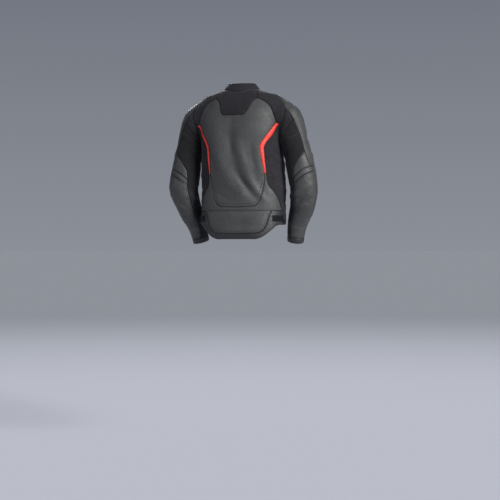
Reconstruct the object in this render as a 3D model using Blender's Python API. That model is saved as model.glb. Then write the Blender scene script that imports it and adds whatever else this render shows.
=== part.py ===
# A worn motorcycle jacket, hollow, in metres with +Z up. The chest faces -Y and the back +Y,
# and the wearer's left is +X. The origin is inside the base of the neck, between the shoulders.
# One outer form, a torso and two sleeves melted together, carries every panel: a panel is a
# thin wall that fills its outline of seams, and neighbours share the points of their seam.

import math

import bpy
import numpy as np
from mathutils import Vector
from mathutils.geometry import delaunay_2d_cdt

MM = 0.001
WALL = 1.8 * MM          # thickness of leather and textile
SEAM_SHIFT = 0.2 * MM    # each panel stops this far short of its seam
SPACING = 25 * MM        # distance between the points of a panel
OVERLAY_GAP = 0.6 * MM   # between a panel and what lies on it
FAN_HEIGHT = -200 * MM   # above this height the torso is read along rays that fan upwards
FAN_RADIUS = 170 * MM
CHEST_WIDTH = 190 * MM   # proportions of the torso's directions
CHEST_DEPTH = 130 * MM
GIRTH_RADIUS = 165 * MM
SEAM_CORE = 80 * MM      # width of the core line that rays start from, for seams and panels
PANEL_CORE = {"side_panel": 120 * MM, "shoulder_yoke": 0.0, "neck_yoke": 0.0}
SLEEVE_RADIUS = 60 * MM
ROUNDNESS = 2.3          # 2 is an ellipse, higher is squarer
ARMHOLE_LEAN = 0.9       # how far the armhole seam bows out at the front and back
ZIP_HALF = 6             # mm, half width of the zip tape
CUFF_TOP = 565           # mm along the sleeve
CUFF_END = 590
MELT_SHARP = 5 * MM       # how softly the sleeves melt into the torso, at the armpit
MELT_SOFT = 45 * MM       # and at the shoulder
SPLIT_RULE = np.array([0.3, 0.5, 1.0])   # neighbours cut the rim's faces the same way by it

# Sideways sway of the worn pose, mm: height, shift of the trunk, shift of the left sleeve
SWAY = [
    (-660, 0, 0),
    (-490, 0, 0),
    (-400, 0, 9),
    (-333, 3, 8),
    (-270, 10, 8),
    (-212, 15, 10),
    (-115, 16, 12),
    (-74, 12, 11),
    (-6, 8, 8),
    (80, 5, 5),
]
SWAY_RIGHT = (-190, -60)   # mm, the sway starts and is full at these places across
SWAY_LEFT = ((60, 230), (200, 320))   # it turns into the sleeve's own, above and below
SWAY_LEVELS = (-200, -350)   # mm, heights of those two

# Level sections of the torso, mm: height, half width, depth of the back, depth of the front
TORSO = [
    (-660, 187, 125, 122),
    (-552, 186, 122, 120),
    (-480, 185, 117, 117),
    (-400, 185, 113, 115),
    (-340, 183, 117, 119),
    (-260, 175, 126, 128),
    (-200, 172, 132, 134),
    (-150, 177, 134, 133),
    (-100, 180, 129, 123),
    (-60, 180, 118, 107),
    (-35, 175, 107, 94),
    (-10, 167, 93, 81),
    (4, 156, 84, 75),
    (18, 118, 76, 71),
    (30, 82, 69, 68),
    (42, 66, 65, 66),
    (80, 60, 62, 64),
]

# Middle line of the left sleeve, mm: across, back, height, radius
SLEEVE = [
    (120, 0, -62, 48),
    (162, 0, -80, 64),
    (190, 0, -100, 70),
    (210, 0, -145, 65.5),
    (226.5, 0, -190, 60),
    (240, 2, -240, 58.5),
    (258, 3, -315, 60),
    (270, 2, -385, 60),
    (266, -10, -437, 56),
    (252, -27, -489, 51),
    (233, -42, -540, 43.5),
    (222, -55, -584, 38),
    (212, -74, -650, 36),
]

# Rings that the sleeve is measured by: distance along it, middle of the ring (mm), and the
# tilt of its outward and forward directions (degrees). They fan out from the armpit.
RINGS = [
    (0, 164, 0, -105, 95.6, 0),
    (58, 205, 0, -138, 74, 0),
    (110, 222, 0, -179, 53, 0),
    (146, 231, 1, -205, 33, 0),
    (170, 237, 2, -224, 16, 0),
    (263, 258, 3, -315, 12, 0),
    (334, 270, 2, -385, 2, 6),
    (388, 266, -10, -437, -10, 15),
    (444, 252, -27, -489, -17, 17),
    (500, 233, -42, -540, -18, 15),
    (547, 222, -55, -584, -13, 15),
    (590, 215, -67, -625, -10, 16),
]

# Seams on the left half. A row is (view, place, height) in mm: "back" and "front" are seen
# square on, "top" from above, "round" has degrees round the body, and "sleeve" has degrees
# round the sleeve from its outer side and the distance along it.
SEAMS = {
    "neck_back": [("top", 0, 78), ("top", 42, 68), ("top", 72, 40)],
    "neck_side": [("top", 72, 40), ("top", 84, 0), ("top", 70, -48)],
    "neck_front": [("top", 70, -48), ("top", 42, -78), ("front", ZIP_HALF, -29)],
    "yoke_top": [("back", 93, -14), ("top", 72, 40)],
    "trapezoid_side": [("back", 93, -14), ("back", 82, -18), ("back", 73, -30), ("back", 65, -52),
                       ("back", 56, -73), ("back", 45, -87)],
    "trapezoid_base": [("back", 0, -88), ("back", 45, -87)],
    "lobe_out": [("back", 93, -14), ("back", 110, -21), ("back", 128, -33), ("back", 143, -50),
                 ("back", 156, -82), ("back", 165.4, -118.5)],
    "red_top": [("back", 165.4, -118.5), ("back", 177.6, -125.5)],
    "red_in": [("back", 165.4, -118.5), ("back", 139, -166), ("back", 116, -207),
               ("back", 111, -223), ("back", 114, -275), ("back", 120, -338)],
    "red_out": [("back", 177.6, -125.5), ("back", 154, -170), ("back", 131, -211),
                ("back", 126, -227), ("back", 126, -275), ("back", 128, -338)],
    "red_tip": [("back", 120, -338), ("back", 128, -338)],
    "yoke_side": [("back", 177.6, -125.5), ("sleeve", 100, 0)],
    "yoke_front": [("top", 70, -48), ("front", 100, -19), ("front", 135, -31),
                   ("sleeve", -62, 0)],
    "u_side": [("back", 120, -338), ("back", 119, -366), ("back", 114, -395),
               ("back", 107, -425), ("back", 99, -449), ("back", 88, -468), ("back", 72, -476)],
    "u_base": [("back", 0, -479), ("back", 72, -476)],
    "wing_side": [("back", 128, -338), ("back", 130, -362), ("back", 138, -390),
                  ("back", 152, -408), ("back", 165, -430), ("back", 174, -455),
                  ("back", 180, -492)],
    "wing_hem": [("back", 147, -494), ("back", 180, -492)],
    "lower_top": [("back", 0, -494), ("back", 147, -494)],
    "lower_side": [("back", 147, -494), ("back", 137, -520), ("back", 129, -549),
                   ("back", 116, -574), ("back", 102, -585), ("back", 84, -590)],
    "lower_base": [("back", 0, -591), ("back", 84, -590)],
    "side_hem": [("back", 180, -492), ("round", 97, -496), ("round", 115, -500)],
    "front_side": [("sleeve", 215, 0), ("round", 113, -262), ("round", 117, -350),
                   ("round", 117, -430), ("round", 115, -500)],
    "front_hem": [("round", 115, -500), ("round", 148, -502), ("front", ZIP_HALF, -503)],
    "hem_side": [("round", 115, -500), ("round", 115, -553)],
    "edge_base": [("back", 0, -617), ("back", 85, -617)],
    "edge_back": [("back", 85, -617), ("back", 110, -609), ("back", 133, -592),
                  ("back", 155, -571), ("back", 171, -557), ("round", 92, -553),
                  ("round", 115, -553)],
    "edge_front": [("round", 115, -553), ("round", 148, -553), ("front", ZIP_HALF, -553)],
    "zip_edge": [("front", ZIP_HALF, -29), ("front", ZIP_HALF, -503)],
    "zip_low": [("front", ZIP_HALF, -503), ("front", ZIP_HALF, -553)],
    "zip_top": [("front", 0, -29), ("front", ZIP_HALF, -29)],
    "zip_base": [("front", 0, -553), ("front", ZIP_HALF, -553)],
    "armhole_1": [("sleeve", -62, 0), ("sleeve", -48, 0)],
    "armhole_2": [("sleeve", -48, 0), ("sleeve", 48, 0)],
    "armhole_3": [("sleeve", 48, 0), ("sleeve", 100, 0)],
    "armhole_4": [("sleeve", 100, 0), ("sleeve", 140, 0)],
    "armhole_5": [("sleeve", 140, 0), ("sleeve", 180, 0), ("sleeve", 215, 0)],
    "armhole_6": [("sleeve", 215, 0), ("sleeve", 298, 0)],
    "cap_back_high": [("sleeve", 48, 0), ("sleeve", 45, 79)],
    "cap_back_mid": [("sleeve", 45, 79), ("sleeve", 44, 150), ("sleeve", 45, 200)],
    "cap_back_low": [("sleeve", 45, 200), ("sleeve", 38, 238), ("sleeve", 27, 263)],
    "cap_end": [("sleeve", 27, 263), ("sleeve", -10, 262), ("sleeve", -45, 262)],
    "cap_front": [("sleeve", -48, 0), ("sleeve", -46, 120), ("sleeve", -45, 262)],
    "gusset": [("sleeve", 45, 79), ("sleeve", 79, 68), ("sleeve", 115, 44),
               ("sleeve", 140, 0)],
    "patch_top": [("sleeve", 45, 200), ("sleeve", 73, 217), ("sleeve", 100, 243),
                  ("sleeve", 114, 264), ("sleeve", 121, 302)],
    "stretch_top": [("sleeve", 27, 263), ("sleeve", 66, 270), ("sleeve", 94, 282),
                    ("sleeve", 121, 302)],
    "stretch_base": [("sleeve", 20, 283), ("sleeve", 64, 291), ("sleeve", 96, 306),
                     ("sleeve", 122, 322)],
    "stretch_in": [("sleeve", 121, 302), ("sleeve", 122, 322)],
    "stretch_out": [("sleeve", 27, 263), ("sleeve", 20, 283)],
    "crook_back": [("sleeve", 122, 322), ("sleeve", 123, 334)],
    "crook": [("sleeve", 123, 334), ("sleeve", 200, 330), ("sleeve", 280, 334)],
    "forearm_outer": [("sleeve", 20, 283), ("sleeve", 12, 334), ("sleeve", 9, 440),
                      ("sleeve", 8, CUFF_TOP)],
    "forearm_under": [("sleeve", 123, 334), ("sleeve", 123, 388), ("sleeve", 118, 480),
                      ("sleeve", 112, CUFF_TOP)],
    "forearm_high": [("sleeve", -45, 262), ("sleeve", -60, 300), ("sleeve", -80, 334)],
    "forearm_inside": [("sleeve", -80, 334), ("sleeve", -82, 440), ("sleeve", -80, CUFF_TOP)],
    "cuff_a": [("sleeve", 8, CUFF_TOP), ("sleeve", 112, CUFF_TOP)],
    "cuff_b": [("sleeve", 112, CUFF_TOP), ("sleeve", 280, CUFF_TOP)],
    "cuff_c": [("sleeve", 280, CUFF_TOP), ("sleeve", 368, CUFF_TOP)],
    "cuff_slit": [("sleeve", 8, CUFF_TOP), ("sleeve", 8, CUFF_END)],
    "cuff_end": [("sleeve", 8, CUFF_END), ("sleeve", 130, CUFF_END), ("sleeve", 250, CUFF_END),
                 ("sleeve", 368, CUFF_END)],
    "strap_high": [("back", 150, -515), ("round", 78.5, -515)],
    "strap_low": [("back", 150, -541), ("round", 78.5, -541)],
    "strap_back": [("back", 150, -515), ("back", 150, -541)],
    "strap_end": [("round", 78.5, -515), ("round", 78.5, -541)],
    "tab_high": [("round", 80.5, -517), ("round", 90, -517)],
    "tab_low": [("round", 80.5, -539), ("round", 90, -539)],
    "tab_back": [("round", 80.5, -517), ("round", 80.5, -539)],
    "tab_end": [("round", 90, -517), ("round", 90, -539)],
}

# Seams drawn with straight stretches between their rows
STRAIGHT = ("trapezoid_base", "lower_top", "zip_edge", "zip_low", "red_top", "red_tip")

# Panels that cross the middle: a half outline, from the middle line back to the middle line
MIDDLE_PANELS = {
    "back_center": ("grey", "u_base -u_side -red_in -lobe_out trapezoid_side -trapezoid_base"),
    "neck_yoke": ("black", "trapezoid_base -trapezoid_side yoke_top -neck_back"),
    "hip_wings": ("grey", "lower_top wing_hem -wing_side -red_tip u_side -u_base"),
    "lower_back": ("grey", "lower_base -lower_side -lower_top"),
    "hem_back": ("black", "edge_base edge_back -hem_side -side_hem -wing_hem lower_side"
                          " -lower_base"),
}

# Panels of the left half, each mirrored to the right: material, outline of seams
BODY_PANELS = {
    "shoulder_yoke": ("black", "lobe_out red_top yoke_side -armhole_3 -armhole_2 -armhole_1"
                               " -yoke_front -neck_side -yoke_top"),
    "red_insert": ("red", "red_in red_tip -red_out -red_top"),
    "side_panel": ("black", "yoke_side armhole_4 armhole_5 front_side -side_hem -wing_side"
                            " -red_out"),
    "front": ("grey", "neck_front zip_edge -front_hem -front_side armhole_6 -yoke_front"),
    "hem_front": ("black", "front_hem zip_low -edge_front -hem_side"),
}

# A number after a seam's name turns it round the sleeve by that many degrees
SLEEVE_PANELS = {
    "sleeve_cap": ("grey", "armhole_2 cap_back_high cap_back_mid cap_back_low cap_end"
                           " -cap_front"),
    "sleeve_gusset": ("black", "armhole_3 armhole_4 -gusset -cap_back_high"),
    "upper_arm": ("black", "armhole_5 armhole_6 armhole_1+360 cap_front+360 forearm_high+360"
                           " -crook -crook_back -stretch_in -patch_top -cap_back_mid gusset"),
    "elbow_patch": ("grey", "patch_top -stretch_top -cap_back_low"),
    "elbow_stretch": ("grey", "stretch_top stretch_in -stretch_base -stretch_out"),
    "forearm_back": ("grey", "stretch_base crook_back forearm_under -cuff_a -forearm_outer"),
    "forearm_front": ("grey", "cap_end forearm_high forearm_inside cuff_c-360 -forearm_outer"
                              " -stretch_out"),
    "forearm_inner": ("black", "crook forearm_inside+360 -cuff_b -forearm_under"),
    "cuff": ("black", "cuff_a cuff_b cuff_c cuff_slit+360 -cuff_end -cuff_slit"),
}

# Strips that lie on the panels
OVERLAYS = {
    "waist_strap": "strap_high strap_end -strap_low -strap_back",
    "strap_anchor": "tab_high tab_end -tab_low -tab_back",
}

# Soft folds: view, three places of the fold's line, half width and height (mm)
BACK_FOLDS = [
    ("back", (2, -95), (-4, -230), (-2, -300), 24, -4.5),
    ("back", (-2, -290), (-22, -350), (-88, -402), 20, -4.5),
    ("back", (60, -180), (36, -300), (-22, -384), 17, 3.5),
    ("back", (-22, -384), (-46, -412), (-84, -440), 15, 3.5),
    ("back", (-42, -200), (-60, -300), (-112, -388), 15, 3.5),
    ("back", (98, -130), (66, -210), (50, -330), 20, -3.0),
    ("back", (92, -400), (40, -430), (-30, -450), 16, 2.5),
    ("front", (60, -120), (86, -190), (150, -230), 20, -4.0),
    ("front", (-55, -135), (-90, -200), (-150, -225), 19, -3.5),
    ("front", (20, -330), (80, -350), (150, -400), 17, 3.5),
    ("front", (-25, -360), (-90, -390), (-155, -410), 18, 3.5),
    ("front", (40, -420), (95, -440), (160, -455), 15, -3.0),
]

# Folds of both sleeves, on top of the ribs of the elbow's stretch insert
SLEEVE_FOLDS = [
    ("sleeve", (32, 266), (84, 272), (119, 306), 4.5, 2.6),
    ("sleeve", (28, 276), (84, 284), (119, 316), 4.5, 2.6),
    ("sleeve", (170, 300), (215, 318), (262, 296), 11, -4.0),
    ("sleeve", (160, 352), (215, 344), (285, 362), 11, -3.5),
    ("sleeve", (70, 180), (110, 205), (170, 215), 14, -3.0),
    ("sleeve", (300, 130), (270, 180), (225, 215), 15, -3.5),
    ("sleeve", (60, 350), (100, 380), (150, 395), 13, 2.5),
    ("sleeve", (30, 430), (80, 450), (130, 440), 12, -2.5),
    ("sleeve", (-60, 420), (-20, 460), (30, 500), 12, 2.5),
]

# Top edge of the collar: degrees from the back, half width, depth and height (mm)
COLLAR_TOP = [(0, 62, 66, 52), (90, 62, 66, 56), (150, 62, 72, 28), (180, 62, 76, 10)]
COLLAR_GAP = 0.5 * MM      # between the collar and the body at the neck seam
COLLAR_OPENING = 0.955     # draws the front ends of the top edge apart

ZIP_STOP = -52             # mm, height of the slider at the closed zip
SLIDER_SIZE = (9.2, 14, 3)  # mm: across, along the zip, thick
BRIDGE_HALF = 1.1
PULL_AXIS = 5.0            # mm from the cloth to the pull's bar
PULL_THICK = 1.6

RING_PLACE = (79.5, -528)  # degrees round the body and height (mm) of the strap's ring
RING_HALF = (7, 19.4)      # mm, half sizes of the ring's middle line
RING_ROD = 2.1
RING_LIFT = 5.4

BOTH_SIDES = (("_left", 1), ("_right", -1))
WHOLE = (("", 1),)

COLORS = {
    "grey": ((0.055, 0.056, 0.058), 0.55, 0.0),
    "black": ((0.016, 0.016, 0.020), 0.75, 0.0),
    "red": ((0.80, 0.045, 0.035), 0.45, 0.0),
    "webbing": ((0.012, 0.012, 0.013), 0.85, 0.0),
    "tape": ((0.012, 0.012, 0.014), 0.80, 0.0),
    "metal": ((0.10, 0.10, 0.11), 0.35, 0.9),
    "plastic": ((0.014, 0.014, 0.016), 0.40, 0.0),
}


def read_column(table, places, column):
    # A smooth curve through one column of a table, with no swing past its rows
    rows = np.array(table, float)
    xs = rows[:, 0]
    ys = rows[:, column]
    rises = np.diff(ys) / np.diff(xs)
    slopes = np.zeros(len(xs))
    slopes[0] = rises[0]
    slopes[-1] = rises[-1]
    product = rises[:-1] * rises[1:]
    total = np.where(product > 0, rises[:-1] + rises[1:], 1.0)
    slopes[1:-1] = np.where(product > 0, 2 * product / total, 0.0)
    x = np.clip(places, xs[0], xs[-1])
    i = np.clip(np.searchsorted(xs, x) - 1, 0, len(xs) - 2)
    span = xs[i + 1] - xs[i]
    t = (x - xs[i]) / span
    left = ys[i] * (1 + 2 * t) + slopes[i] * span * t
    right = ys[i + 1] * (3 - 2 * t) - slopes[i + 1] * span * (1 - t)
    return left * (1 - t) ** 2 + right * t ** 2


def round_curve(rows, steps):
    # Points on a rounded line through the rows, with the rows themselves among them
    rows = np.array(rows, float)
    ends = np.vstack([2 * rows[0] - rows[1], rows, 2 * rows[-1] - rows[-2]])
    points = []
    for i in range(len(rows) - 1):
        a, b, c, d = ends[i:i + 4]
        for step in range(steps):
            t = step / steps
            points.append(0.5 * (2 * b + (c - a) * t + (2 * a - 5 * b + 4 * c - d) * t ** 2
                                 + (3 * b - a - 3 * c + d) * t ** 3))
    points.append(rows[-1])
    return np.array(points)


def ease(share):
    share = np.clip(share, 0, 1)
    return share * share * (3 - 2 * share)


def sway(points):
    # Points of the upright jacket, shifted across into its worn pose
    points = np.array(points, float)
    x = points[..., 0] / MM
    z = points[..., 2] / MM
    lower = ease((SWAY_LEVELS[0] - z) / (SWAY_LEVELS[0] - SWAY_LEVELS[1]))
    start = SWAY_LEFT[0][0] + (SWAY_LEFT[1][0] - SWAY_LEFT[0][0]) * lower
    end = SWAY_LEFT[0][1] + (SWAY_LEFT[1][1] - SWAY_LEFT[0][1]) * lower
    sleeve = ease((x - start) / (end - start))
    trunk = ease((x - SWAY_RIGHT[0]) / (SWAY_RIGHT[1] - SWAY_RIGHT[0])) * (1 - sleeve)
    shift = read_column(SWAY, z, 1) * trunk + read_column(SWAY, z, 2) * sleeve
    points[..., 0] += shift * MM
    return points


SLEEVE_LINE = round_curve(SLEEVE, 2) * MM
LEVELS = np.arange(TORSO[0][0], TORSO[-1][0] + 1)
TORSO_SIZES = [read_column(TORSO, LEVELS, column) * MM for column in (1, 2, 3)]


def torso_field(points):
    # Negative inside the torso, positive outside, about the distance in metres
    x, y, z = points.T
    width, back, front = (np.interp(z / MM, LEVELS, sizes) for sizes in TORSO_SIZES)
    depth = np.where(y > 0, back, front)
    size = (np.abs(x / width) ** ROUNDNESS + np.abs(y / depth) ** ROUNDNESS) ** (1 / ROUNDNESS)
    return np.maximum(np.hypot(x, y), MM) * (1 - 1 / np.maximum(size, 0.001))


def sleeve_field(points):
    # The same for both sleeves: the distance to a tube round the sleeve's middle line
    folded = points.copy()
    folded[:, 0] = np.abs(folded[:, 0])
    nearest = np.full(len(points), 9.0)
    for start, end in zip(SLEEVE_LINE[:-1], SLEEVE_LINE[1:]):
        way = end[:3] - start[:3]
        away = folded - start[:3]
        share = np.clip(away @ way / (way @ way), 0, 1)
        radius = start[3] + share * (end[3] - start[3])
        distance = np.linalg.norm(away - share[:, None] * way, axis=1) - radius
        nearest = np.minimum(nearest, distance)
    return nearest


def form_field(points):
    # Torso and sleeves melted together, softly at the shoulder and sharply at the armpit
    torso = torso_field(points)
    sleeve = sleeve_field(points)
    rise = ease((points[:, 2] + 0.20) / 0.16)
    softness = MELT_SHARP + (MELT_SOFT - MELT_SHARP) * rise
    overlap = np.clip(1 - np.abs(torso - sleeve) / softness, 0, 1)
    return np.minimum(torso, sleeve) - overlap ** 2 * softness / 4


def cast(starts, directions, reach):
    # The first place where each line crosses the form's surface
    starts = np.atleast_2d(starts) + 0 * directions
    value = form_field(starts)
    inside = value < 0
    low = np.zeros(len(directions))
    high = np.full(len(directions), reach)
    going = np.arange(len(directions))
    while len(going):
        place = low[going] + np.clip(np.abs(value) * 0.5, 0.8 * MM, 15 * MM)
        value = form_field(starts[going] + directions[going] * place[:, None])
        crossed = (value < 0) != inside[going]
        high[going[crossed]] = place[crossed]
        low[going[~crossed]] = place[~crossed]
        onward = ~crossed & (place < reach)
        going = going[onward]
        value = value[onward]
    for _ in range(18):
        middle = (low + high) / 2
        same = (form_field(starts + directions * middle[:, None]) < 0) == inside
        low = np.where(same, middle, low)
        high = np.where(same, high, middle)
    return starts + directions * low[:, None]


def form_normal(points):
    columns = []
    for axis in np.eye(3) * 0.0005:
        columns.append(form_field(points + axis) - form_field(points - axis))
    normal = np.stack(columns, axis=1)
    return normal / np.linalg.norm(normal, axis=1)[:, None]


def torso_point(chart, core):
    # Chart (distance round, height) to a point of the surface. The rays start from a level
    # core line as wide as given, so that they meet the sides of the back squarely.
    turn = chart[:, 0] / GIRTH_RADIUS
    lift = np.maximum(chart[:, 1] - FAN_HEIGHT, 0) / FAN_RADIUS
    reach = CHEST_WIDTH - core
    flat = np.stack([reach * np.sin(turn), CHEST_DEPTH * np.cos(turn)], axis=1)
    flat = flat / np.linalg.norm(flat, axis=1)[:, None]
    directions = np.column_stack([flat * np.cos(lift)[:, None], np.sin(lift)])
    starts = np.zeros((len(chart), 3))
    starts[:, 0] = core * np.sin(turn)
    starts[:, 2] = np.minimum(chart[:, 1], FAN_HEIGHT)
    return cast(starts, directions, 0.42)


def torso_chart(points, core, from_front):
    x, y, z = points.T
    reach = CHEST_WIDTH - core
    low = np.full(len(points), 0.001)
    high = np.full(len(points), 4.0)
    for _ in range(40):
        middle = (low + high) / 2
        size = (x / (core + middle * reach)) ** 2 + (y / (middle * CHEST_DEPTH)) ** 2
        low = np.where(size > 1, middle, low)
        high = np.where(size > 1, high, middle)
    turn = np.arctan2(x / (core + low * reach), y / (low * CHEST_DEPTH))
    if from_front:
        turn = turn % (2 * math.pi)
    level = low * np.hypot(reach * np.sin(turn), CHEST_DEPTH * np.cos(turn))
    lift = np.arctan2(z - FAN_HEIGHT, level)
    height = np.where(z > FAN_HEIGHT, FAN_HEIGHT + FAN_RADIUS * lift, z)
    return np.stack([turn * GIRTH_RADIUS, height], axis=1)


def sleeve_point(chart):
    # Chart (distance round, distance along) to a point of the left sleeve
    turn = chart[:, 0] / SLEEVE_RADIUS
    along = chart[:, 1] / MM
    middle = np.stack([read_column(RINGS, along, c) for c in (1, 2, 3)], axis=1) * MM
    tilt = np.radians(read_column(RINGS, along, 4))
    forward = np.radians(read_column(RINGS, along, 5))
    zero = np.zeros(len(chart))
    out = np.stack([np.cos(tilt), zero, np.sin(tilt)], axis=1)
    fall = np.stack([np.sin(tilt), zero, -np.cos(tilt)], axis=1)
    behind = fall * np.sin(forward)[:, None] + [[0, 1, 0]] * np.cos(forward)[:, None]
    down = fall * np.cos(forward)[:, None] - [[0, 1, 0]] * np.sin(forward)[:, None]
    fade = np.clip(1 - along / 110, 0, 1) ** 2
    lean = ARMHOLE_LEAN * np.abs(np.sin(turn)) ** 1.2 * (1 + np.cos(turn)) / 2 * fade
    directions = out * np.cos(turn)[:, None] + behind * np.sin(turn)[:, None]
    directions = directions + down * lean[:, None]
    directions = directions / np.linalg.norm(directions, axis=1)[:, None]
    return cast(middle, directions, 0.2)


def view_point(view, place, height):
    # One row of a seam to a point of the surface
    if view == "sleeve":
        chart = [[math.radians(place) * SLEEVE_RADIUS, height * MM]]
        return sleeve_point(np.array(chart))[0]
    if view == "round":
        turn = math.radians(place)
        start = [0, 0, height * MM]
        direction = np.array([[CHEST_WIDTH * math.sin(turn), CHEST_DEPTH * math.cos(turn), 0]])
        direction = direction / np.linalg.norm(direction)
        return cast(start, direction, 0.3)[0]
    if view == "top":
        return cast([place * MM, height * MM, 0.3], np.array([[0, 0, -1.0]]), 0.4)[0]
    behind = 1 if view == "back" else -1
    return cast([place * MM, 0.3 * behind, height * MM], np.array([[0, -1.0 * behind, 0]]), 0.3)[0]


def cut_line(chart, points, step, rounded):
    # Extra chart places between the rows, so that no stretch is longer than the step
    fine = round_curve(chart, 8) if rounded and len(chart) > 2 else None
    result = [chart[0]]
    for i in range(len(chart) - 1):
        length = np.linalg.norm(points[i + 1] - points[i])
        count = max(int(math.ceil(length / step)), 1)
        for part in range(1, count + 1):
            share = part / count
            if fine is None:
                result.append(chart[i] + (chart[i + 1] - chart[i]) * share)
            else:
                place = i * 8 + share * 8
                low = min(int(place), len(fine) - 2)
                result.append(fine[low] + (fine[low + 1] - fine[low]) * (place - low))
    return np.array(result)


def trace_seam(name, step):
    # Points of a seam on the surface, and their chart places if it is a sleeve's seam
    rows = SEAMS[name]
    points = np.array([view_point(*row) for row in rows])
    rounded = name not in STRAIGHT
    if all(row[0] == "sleeve" for row in rows):
        chart = np.array([(math.radians(r[1]) * SLEEVE_RADIUS, r[2] * MM) for r in rows])
        if chart[0, 1] == 0 and chart[-1, 1] == 0 or name.startswith("cuff_"):
            step = step * 0.8
        chart = cut_line(chart, points, step, rounded)
        return sleeve_point(chart), chart
    from_front = rows[-1][0] == "front"
    core = 0.0 if name.startswith("neck") else SEAM_CORE
    chart = cut_line(torso_chart(points, core, from_front), points, step, rounded)
    line = torso_point(chart, core)
    line[0] = points[0]
    line[-1] = points[-1]
    return line, None


def seam_step(name):
    if name.startswith(("strap_", "tab_")):
        return 10 * MM
    if name.startswith("zip_"):
        return 30 * MM
    return SPACING


TRACED = {name: trace_seam(name, seam_step(name)) for name in SEAMS}


def collect_outline(words):
    # Joins the seams of an outline, each named word by word
    outline = []
    charts = []
    for word in words.split():
        turned = 0
        if word.endswith(("+360", "-360")):
            turned = float(word[-4:])
            word = word[:-4]
        line, chart = TRACED[word.lstrip("-")]
        if chart is not None:
            chart = chart + [[math.radians(turned) * SLEEVE_RADIUS, 0]]
        if word.startswith("-"):
            line = line[::-1]
            chart = None if chart is None else chart[::-1]
        outline.append(line[:-1])
        charts.append(None if chart is None else chart[:-1])
        last = line[-1:]
    if np.linalg.norm(last[0] - outline[0][0]) > 1e-4:
        outline.append(last)
    whole = np.vstack(outline)
    if any(chart is None for chart in charts):
        return whole, None
    return whole, np.vstack(charts)


def fold_line(row, side):
    view, first, middle, last, width, height = row
    points = []
    for t in np.linspace(0, 1, 9):
        blend = ((1 - t) ** 2, 2 * t * (1 - t), t ** 2)
        place = sum(b * p[0] for b, p in zip(blend, (first, middle, last)))
        level = sum(b * p[1] for b, p in zip(blend, (first, middle, last)))
        points.append(view_point(view, place, level))
    return np.array(points) * [side, 1, 1], width * MM, height * MM


FOLD_LINES = [fold_line(row, 1) for row in BACK_FOLDS]
FOLD_LINES += [fold_line(row, 1) for row in SLEEVE_FOLDS]
FOLD_LINES += [fold_line(row, -1) for row in SLEEVE_FOLDS]


def fold_height(points):
    # How far each point is lifted by the soft folds near it
    total = np.zeros(len(points))
    for line, width, height in FOLD_LINES:
        nearest = np.full(len(points), 9.0)
        fade = np.zeros(len(points))
        for i, (start, end) in enumerate(zip(line[:-1], line[1:])):
            way = end - start
            share = np.clip((points - start) @ way / (way @ way), 0, 1)
            distance = np.linalg.norm(points - start - share[:, None] * way, axis=1)
            along = (i + share) / (len(line) - 1)
            closer = distance < nearest
            nearest = np.where(closer, distance, nearest)
            fade = np.where(closer, np.sin(math.pi * (0.12 + 0.76 * along)), fade)
        total += height * fade * np.exp(-(nearest / width) ** 2)
    return total


def fill_points(outline_chart, outline, to_point, spacing):
    # Chart places inside the outline, about one spacing apart on the surface
    low = outline_chart.min(axis=0)
    high = outline_chart.max(axis=0)
    step = spacing / 3
    columns = np.arange(low[0] + step, high[0], step)
    rows = np.arange(low[1] + step, high[1], step)
    if len(columns) == 0 or len(rows) == 0:
        return np.zeros((0, 2))
    grid = np.array([(c, r) for r in rows for c in columns])
    inside = np.zeros(len(grid), bool)
    ends = np.roll(outline_chart, -1, axis=0)
    for (x0, y0), (x1, y1) in zip(outline_chart, ends):
        crosses = (y0 > grid[:, 1]) != (y1 > grid[:, 1])
        if y1 != y0:
            edge = x0 + (grid[:, 1] - y0) * (x1 - x0) / (y1 - y0)
            inside ^= crosses & (grid[:, 0] < edge)
    grid = grid[inside]
    if len(grid) == 0:
        return grid
    surface = to_point(grid)
    rim = np.vstack([outline, (outline + np.roll(outline, -1, axis=0)) / 2])
    clear = np.ones(len(grid), bool)
    for point in rim:
        clear &= np.linalg.norm(surface - point, axis=1) > spacing * 0.58
    grid = grid[clear]
    surface = surface[clear]
    chosen = []
    free = np.ones(len(grid), bool)
    for i in range(len(grid)):
        if free[i]:
            chosen.append(i)
            free &= np.linalg.norm(surface - surface[i], axis=1) > spacing * 0.9
    return grid[chosen]


def triangulate(outline_chart, inner_chart):
    # Triangles that fill the outline, as triples of indices of outline and inner points
    places = [Vector(p) for p in np.vstack([outline_chart, inner_chart])]
    count = len(outline_chart)
    edges = [(i, (i + 1) % count) for i in range(count)]
    result = delaunay_2d_cdt(places, edges, [], 1, 1e-7)
    origins = [ids[0] for ids in result[3]]
    return [[origins[v] for v in face] for face in result[2]]


def outward_triangles(points, triangles, normals):
    first, second, third = (points[[t[k] for t in triangles]] for k in range(3))
    facing = np.cross(second - first, third - first)
    average = normals[[t[0] for t in triangles]]
    if (facing * average).sum() < 0:
        return [t[::-1] for t in triangles]
    return triangles


def own_normals(points, triangles):
    # Normals of the panel's own faces, for edges that meet their neighbour in a crease
    total = np.zeros_like(points)
    for a, b, c in triangles:
        facing = np.cross(points[b] - points[a], points[c] - points[a])
        for corner in (a, b, c):
            total[corner] += facing
    return total / np.maximum(np.linalg.norm(total, axis=1), 1e-12)[:, None]


def pull_in_edge(points, normals, count, shift):
    # Moves the outline's points off the seam, square to it and within the surface
    outline = points[:count]
    after = np.roll(outline, -1, axis=0) - outline
    after = after / np.linalg.norm(after, axis=1)[:, None]
    before = np.roll(after, 1, axis=0)
    side_after = np.cross(normals[:count], after)
    side_before = np.cross(normals[:count], before)
    side_after = side_after / np.linalg.norm(side_after, axis=1)[:, None]
    side_before = side_before / np.linalg.norm(side_before, axis=1)[:, None]
    agree = np.maximum((side_after * side_before).sum(axis=1), -0.6)
    move = (side_after + side_before) / (1 + agree)[:, None] * shift
    return move


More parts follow.
